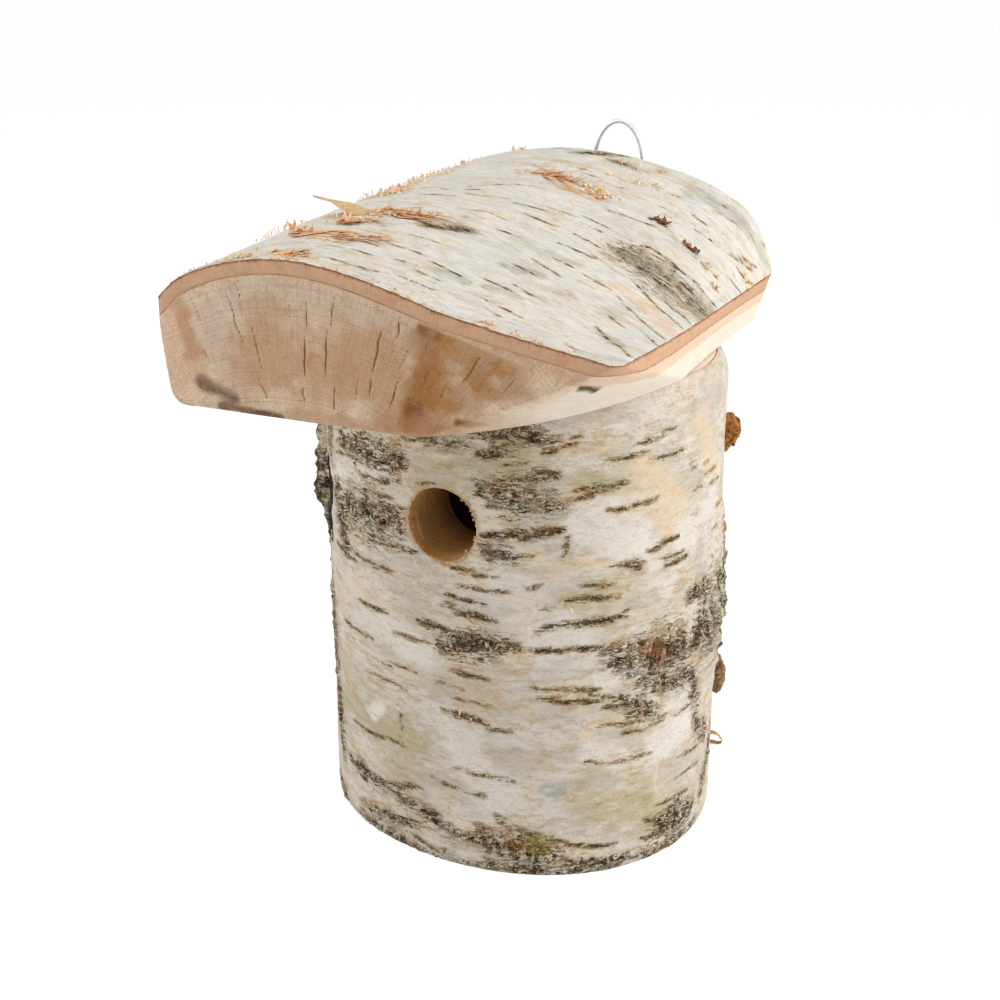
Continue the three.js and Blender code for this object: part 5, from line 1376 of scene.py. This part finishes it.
def slivers(name, body, material, clumps, seed):
    """Clumps of thin strips: each is its place in mm, count, length, width, spread, heading and uprightness.

    A clump on the roof needs no height: its strips are put on the roof's arch.
    """
    draw = np.random.default_rng(seed)
    steps = 7
    share = np.linspace(0, 1, steps)
    points, faces, start = [], [], 0
    for *place, count, length, width, spread, heading, upright in clumps:
        root = np.array([*place, 0.0][:3]) + draw.normal(0, 1, (count, 3)) * (spread, spread * 0.5, 0.15)
        if body == "roof":
            root[:, 1] = np.clip(root[:, 1], roof_front + 0.5, roof_back - 1)
            root[:, 2] = arch(root[:, 0], root[:, 1]) + 0.1
        turn = math.radians(heading) + draw.normal(0, 0.25 + min(upright, 0.55), count)
        climb = upright * draw.uniform(0.1, 1.2, count)
        long = length * draw.uniform(0.35, 1.2, count)
        bend = draw.normal(0, 0.3 + min(upright * 3, 1.3), count)[:, None] * share
        roll_up = draw.normal(0, 3.2, count)[:, None] * share * np.minimum(upright * 2, 1)
        yaw, pitch = turn[:, None] + bend, climb[:, None] + roll_up
        heading_now = np.stack(
            [np.cos(yaw) * np.cos(pitch), np.sin(yaw) * np.cos(pitch), np.sin(pitch)], axis=-1)
        stride_now = heading_now * (long / (steps - 1))[:, None, None]
        path = root[:, None] + np.cumsum(stride_now, axis=1) - stride_now[:, :1]
        sideways = np.stack([-np.sin(yaw), np.cos(yaw), 0 * yaw], axis=-1)
        if body == "roof":
            path[..., 2] = np.maximum(path[..., 2], arch(path[..., 0], path[..., 1]) + 0.15)
        taper = np.sin(math.pi * (0.1 + 0.87 * share)) ** 0.8
        half_width = width / 2 * draw.uniform(0.4, 1.5, count)[:, None] * taper
        flat = np.cross(heading_now, sideways)
        across = sideways * half_width[..., None]
        thick = flat * (half_width * 0.12 + 0.06)[..., None]
        ring = np.stack([path + across, path + thick, path - across, path - thick], axis=2)
        numbers = start + np.arange(count * steps * 4).reshape(count, steps, 4)
        faces.append(grid_faces(numbers, closed=True))
        faces.append(np.concatenate([numbers[:, 0], numbers[:, -1]]))
        points.append(ring.reshape(-1, 3))
        start += count * steps * 4
    made = build_mesh(name, np.concatenate(points), faces, [material], sharp=30)
    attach(made, body)


def on_top(x, y):
    """The place on the roof's arch over x and y."""
    return (x, y, float(arch(np.array([float(x)]), np.array([float(y)]))[0]))


orange_fibre = sliver_material("torn orange fibre", (248, 224, 188), (218, 164, 112))
cream_fibre = sliver_material("pale shaving", (246, 230, 198), (232, 202, 154))
brown_crumb = sliver_material("brown crumb", (172, 112, 54), (80, 48, 22))
torn_flake = sliver_material("torn bark flake", (240, 192, 142), (206, 142, 88))
slivers("torn_orange_fibres", "roof", orange_fibre, [
    (-50, -146, 20, 3, 1.4, 2.5, 10, 0.5), (-35, -142, 34, 5, 1.9, 4.5, 10, 0.1),
    (-50, -108, 34, 5, 1.3, 3, 5, 0.4), (-33, -117, 30, 10, 1.1, 5, 2, 0.05),
    (-20, -109, 16, 9, 1.5, 4, 0, 0.05), (-40, -90, 24, 7, 1.2, 4, 0, 0.25),
    (-36, -72, 44, 10, 1.2, 7, -5, 0.1), (-20, -68, 28, 9, 1.2, 6, -10, 0.08),
    (-52, -22, 50, 3, 1.1, 4, 90, 0.9), (-58, -4, 34, 2.4, 1.0, 6, 90, 0.8),
    (-60, 20, 46, 2.8, 1.0, 6, 60, 0.8), (-62, 46, 40, 2.6, 1.0, 8, 60, 0.7),
    (-63, 70, 40, 3, 1.1, 5, 60, 0.8), (-46, 82, 20, 3, 1.0, 5, 60, 0.8),
    (-9, 24, 34, 8, 1.0, 5, 0, 0.1), (6, 26, 34, 8, 1.0, 5, -5, 0.1), (-22, 40, 18, 6, 1.0, 5, -5, 0.1),
    (20, 18, 34, 4, 1.3, 4, -30, 0.4), (33, 75, 20, 2.6, 1.2, 1.2, 90, 1.2),
    (84, 3, 16, 3, 1.2, 1.2, 100, 0.5), (86, 39, 14, 4, 2.2, 2, 150, 0.3),
    (48, -146, 16, 2.6, 1.2, 2, 40, 0.4), (66, -148, 10, 2.2, 1.0, 4, 10, 0.3),
    (12, -148, 14, 2.2, 1.0, 8, 10, 0.3)] + [
    (x, -149, 7, 1.8, 0.7, 3.2, -90, 0.5) for x in range(-78, 92, 7)], 3)
slivers("torn_bark_flakes", "roof", torn_flake, [
    (-40, -141, 8, 14, 3.4, 4, 8, 0.04), (-38, -112, 10, 18, 2.6, 6, 5, 0.03),
    (-52, -108, 6, 7, 3, 2, 20, 0.3), (-42, -88, 8, 13, 3, 5, 0, 0.05), (-30, -70, 14, 18, 2.4, 8, -8, 0.03),
    (-2, 25, 10, 18, 2.2, 7, -3, 0.03)], 19)
slivers("pale_shavings", "roof", cream_fibre, [
    (-54, -146, 24, 3, 1.0, 5, 40, 0.5), (-72, -98, 12, 5, 0.6, 3, 60, 1.1),
    (-71, -84, 16, 6, 0.6, 4, 80, 1.1), (-54, -30, 60, 4, 1.1, 5, 80, 0.9), (-57, 4, 44, 3, 0.9, 7, 80, 0.7),
    (22, 24, 60, 4.5, 1.2, 4.5, 20, 0.7), (24, 50, 30, 4, 0.8, 5, 30, 0.6), (24, 68, 24, 5, 0.7, 3, 60, 0.9),
    (36, 55, 26, 4, 0.8, 4, 30, 0.5), (76, 12, 16, 4, 1.2, 2.5, 0, 0.1), (-38, -88, 20, 4, 1.2, 4, 0, 0.3),
    (-40, -72, 20, 5, 1.2, 8, 0, 0.15)], 5)
slivers("brown_crumbs", "roof", brown_crumb, [
    (53, 21, 36, 3.4, 2.0, 2.0, 0, 0.7), (68, 16, 22, 3.0, 2.0, 1.5, 0, 0.6),
    (-52, -19, 6, 2.4, 1.6, 1.0, 0, 0.7)], 7)


def on_log(angle, height, stand=0.2):
    """The place on the log's bark, or a little off it, at an angle in degrees and a height."""
    turn = math.radians(angle)
    reach = float(log_radius(np.array(turn))) + stand
    return (reach * math.cos(turn), reach * math.sin(turn), height)


slivers("orange_bark_curls", "log", orange_fibre, [
    (*on_log(9, 116), 10, 3, 0.8, 2, 20, 0.5)], 11)
rim_turns = np.radians(np.arange(150, 420, 9))
rim_x = entrance[0] + (entrance_radius + 0.2) * np.cos(rim_turns)
rim_z = entrance[1] + (entrance_radius + 0.2) * np.sin(rim_turns)
slivers("frayed_entrance_rim", "log", orange_fibre, [
    (x, y, z, 3, 1.7, 0.5, 0.5, -90, 0.6) for x, y, z in zip(rim_x, front_of(rim_x, 0.4), rim_z)], 17)
slivers("pale_paper_curls", "log", cream_fibre, [
    (*on_log(-90, 62), 7, 5, 0.7, 3, -90, 0.9), (*on_log(-84, 74), 5, 5, 0.6, 3, -90, 0.9),
    (*on_log(-56, 128), 6, 4, 0.6, 3, -60, 0.9), (*on_log(-52, 76), 5, 4, 0.6, 3, -50, 0.9),
    (*on_log(-88, 44), 6, 4, 0.6, 3, -90, 0.9), (*on_log(-24, 152), 7, 5, 0.7, 3, -20, 0.8),
    (*on_log(-98, 140), 7, 3, 0.6, 3, -100, 0.9)], 13)

# A broad pointed splinter that lifts off the roof's left side, and two curls of bark at the log's side.
# Each is one strip of the bark or wood itself, torn loose at one end.
splinter_line = ((-38, -76), (-44, -73), (-50, -71), (-57, -70), (-66, -70))
splinter_path = np.array([on_top(x, y) for x, y in splinter_line])
splinter_path[:, 2] += [0.2, 0.8, 3.0, 5.6, 9.5]
splinter_half = np.array([2.2, 4.6, 4.4, 1.5, 0.15])


def strip(name, body, material, path, half, sideways):
    """One strip of bark or wood, 0.7 mm thick, along a path in mm."""
    side, thick = np.outer(half, sideways), (0, 0, 0.35)
    ring = np.stack([path + side, path + thick, path - side, path - thick], axis=1)
    numbers = np.arange(ring.shape[0] * 4).reshape(-1, 4)
    made = build_mesh(name, ring.reshape(-1, 3), [
        grid_faces(numbers, closed=True), numbers[:1], numbers[-1:]], [material], sharp=60)
    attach(made, body)


splinter_wood = sliver_material("splinter wood", (226, 192, 144), (190, 146, 96))
strip("pointed_splinter", "roof", splinter_wood, splinter_path, splinter_half, (0, 1, 0.15))
curl_brown = sliver_material("curled brown bark", (214, 168, 116), (140, 92, 54))
for name, height, outs, rises in (
        ("upper_bark_curl", 32.5, (-0.6, 1.2, 2.8, 4.4, 5.0), (0.6, 0.9, 0.3, -0.9, -2.0)),
        ("lower_bark_curl", 28, (-0.6, 1.4, 3.4, 5.2, 5.6, 4.2), (0.2, 0.3, 0.0, 0.6, 2.2, 3.0))):
    foot_place = np.array(on_log(11, height))
    curl_path = foot_place + np.column_stack([np.multiply(outs, 0.98), np.multiply(outs, 0.19), rises])
    curl_half = np.linspace(1.6, 0.7, len(outs))
    strip(name, "log", curl_brown, curl_path, curl_half, (-0.25, 0.95, 0.2))


# Lumps of resin and loose bark on the log's right side, stuck to the bark and sunk a little into it.
# Each is a ball with half-widths of its own along the three ways, pushed in and out by noise.
def lump(name, angle, height, stand, half_widths, seed, material):
    """Half-widths are outwards, round the log and upwards, and stand is the way from bark to middle."""
    rows, lump_turns = 24, 36
    tilts = np.linspace(0, math.pi, rows + 2)[1:-1]
    headings = np.arange(lump_turns) / lump_turns * 2 * math.pi
    tilt, turn = np.meshgrid(tilts, headings, indexing="ij")
    ball = np.stack([np.sin(tilt) * np.cos(turn), np.sin(tilt) * np.sin(turn), np.cos(tilt)], axis=-1)
    swell = 1 + cloud(ball + seed, 0.8, seed, 4)[..., None] * 0.32
    out = np.array([math.cos(math.radians(angle)), math.sin(math.radians(angle)), 0])
    ways = np.array([out, (-out[1], out[0], 0), (0, 0, 1)])
    points = np.array(on_log(angle, height, stand)) + ball * swell * half_widths @ ways
    poles = np.array([points[0].mean(axis=0) + (0, 0, 0.2), points[-1].mean(axis=0) - (0, 0, 0.2)])
    numbers = np.arange(rows * lump_turns).reshape(rows, lump_turns)
    caps = [np.column_stack([ring, np.roll(ring, -1), np.full(lump_turns, rows * lump_turns + pole)])
            for pole, ring in enumerate((numbers[0], numbers[-1]))]
    made = build_mesh(name, np.concatenate([points.reshape(-1, 3), poles]), [
        grid_faces(numbers, closed=True), np.concatenate(caps)], [material], sharp=70)
    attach(made, "log")


resin = sliver_material("resin and bark", (190, 122, 44), (46, 26, 10))
orange_resin = sliver_material("orange resin", (214, 140, 70), (140, 78, 34))
loose_bark = sliver_material("loose bark", (168, 126, 78), (46, 34, 22))
lump("resin_lump_upper", 12.5, 181, 1.5, (5.2, 4.2, 7.6), 2, resin)
lump("resin_lump_middle", 13, 135, 0.6, (2.4, 2.4, 3.6), 9, orange_resin)
lump("bark_lump_lower", 12.5, 64, 1.6, (4.0, 4.2, 8.2), 14, loose_bark)

# The stage: a pale floor and a white world, which only the camera, gloss and glass see at full strength,
# and soft light from both sides and above.
studio_floor_mesh = bpy.data.meshes.new("studio_floor")
studio_floor_mesh.from_pydata([(-15, -15, 0), (15, -15, 0), (15, 15, 0), (-15, 15, 0)], [], [(0, 1, 2, 3)])
studio_floor = bpy.data.objects.new("studio_floor", studio_floor_mesh)
bpy.context.scene.collection.objects.link(studio_floor)


def seen_rays(tree):
    """One for the rays that the camera sees by, straight, off gloss or through glass, or else nothing."""
    rays = put("LightPath", {}, tree)
    straight_or_glossy = maths("MAXIMUM", rays["Is Camera Ray"], rays["Is Glossy Ray"])
    return maths("MAXIMUM", straight_or_glossy, rays["Is Transmission Ray"])


floor_paper = bpy.data.materials.new("floor paper")
floor_paper.use_nodes = True
paper = floor_paper.node_tree
paper.nodes.clear()
matt = put("BsdfDiffuse", {"Color": (0.86, 0.86, 0.86, 1)}, paper)[0]
glow = put("Emission", {"Color": (1, 1, 1, 1), "Strength": 0.88}, paper)[0]
dim = put("BsdfDiffuse", {"Color": (0.22, 0.22, 0.22, 1)}, paper)[0]
lit = put("AddShader", {0: glow, 1: dim})[0]
put("OutputMaterial", {0: put("MixShader", {0: seen_rays(paper), 1: matt, 2: lit})[0]})
studio_floor_mesh.materials.append(floor_paper)

world = bpy.data.worlds.new("studio")
bpy.context.scene.world = world
world.use_nodes = True
sky = world.node_tree
sky.nodes.clear()
put("OutputWorld", {0: put("Background", {0: (1, 1, 1, 1), 1: seen_rays(sky) * 0.5 + 0.5})[0]})


def soft_light(name, place, aim, size, power):
    """A round lamp at a place in metres, turned towards an aim."""
    lamp = bpy.data.lights.new(name, "AREA")
    lamp.shape, lamp.size, lamp.energy = "DISK", size, power
    made = bpy.data.objects.new(name, lamp)
    away = np.array(place) - np.array(aim)
    away = away / np.linalg.norm(away)
    side = np.cross((0, 0, 1), away)
    side /= np.linalg.norm(side)
    over = np.cross(away, side)
    made.matrix_world = Matrix([*zip(side, over, away, place), (0, 0, 0, 1)])
    bpy.context.scene.collection.objects.link(made)


soft_light("right light", (1.5, 0.1, 0.7), (0, 0, 0.15), 1.0, 16.5)
soft_light("left light", (-1.3, -0.9, 0.8), (0, 0, 0.15), 1.0, 10)
soft_light("top light", (0.1, -0.2, 1.7), (0, 0, 0.2), 1.2, 5)
bpy.context.scene.view_settings.view_transform = "Standard"
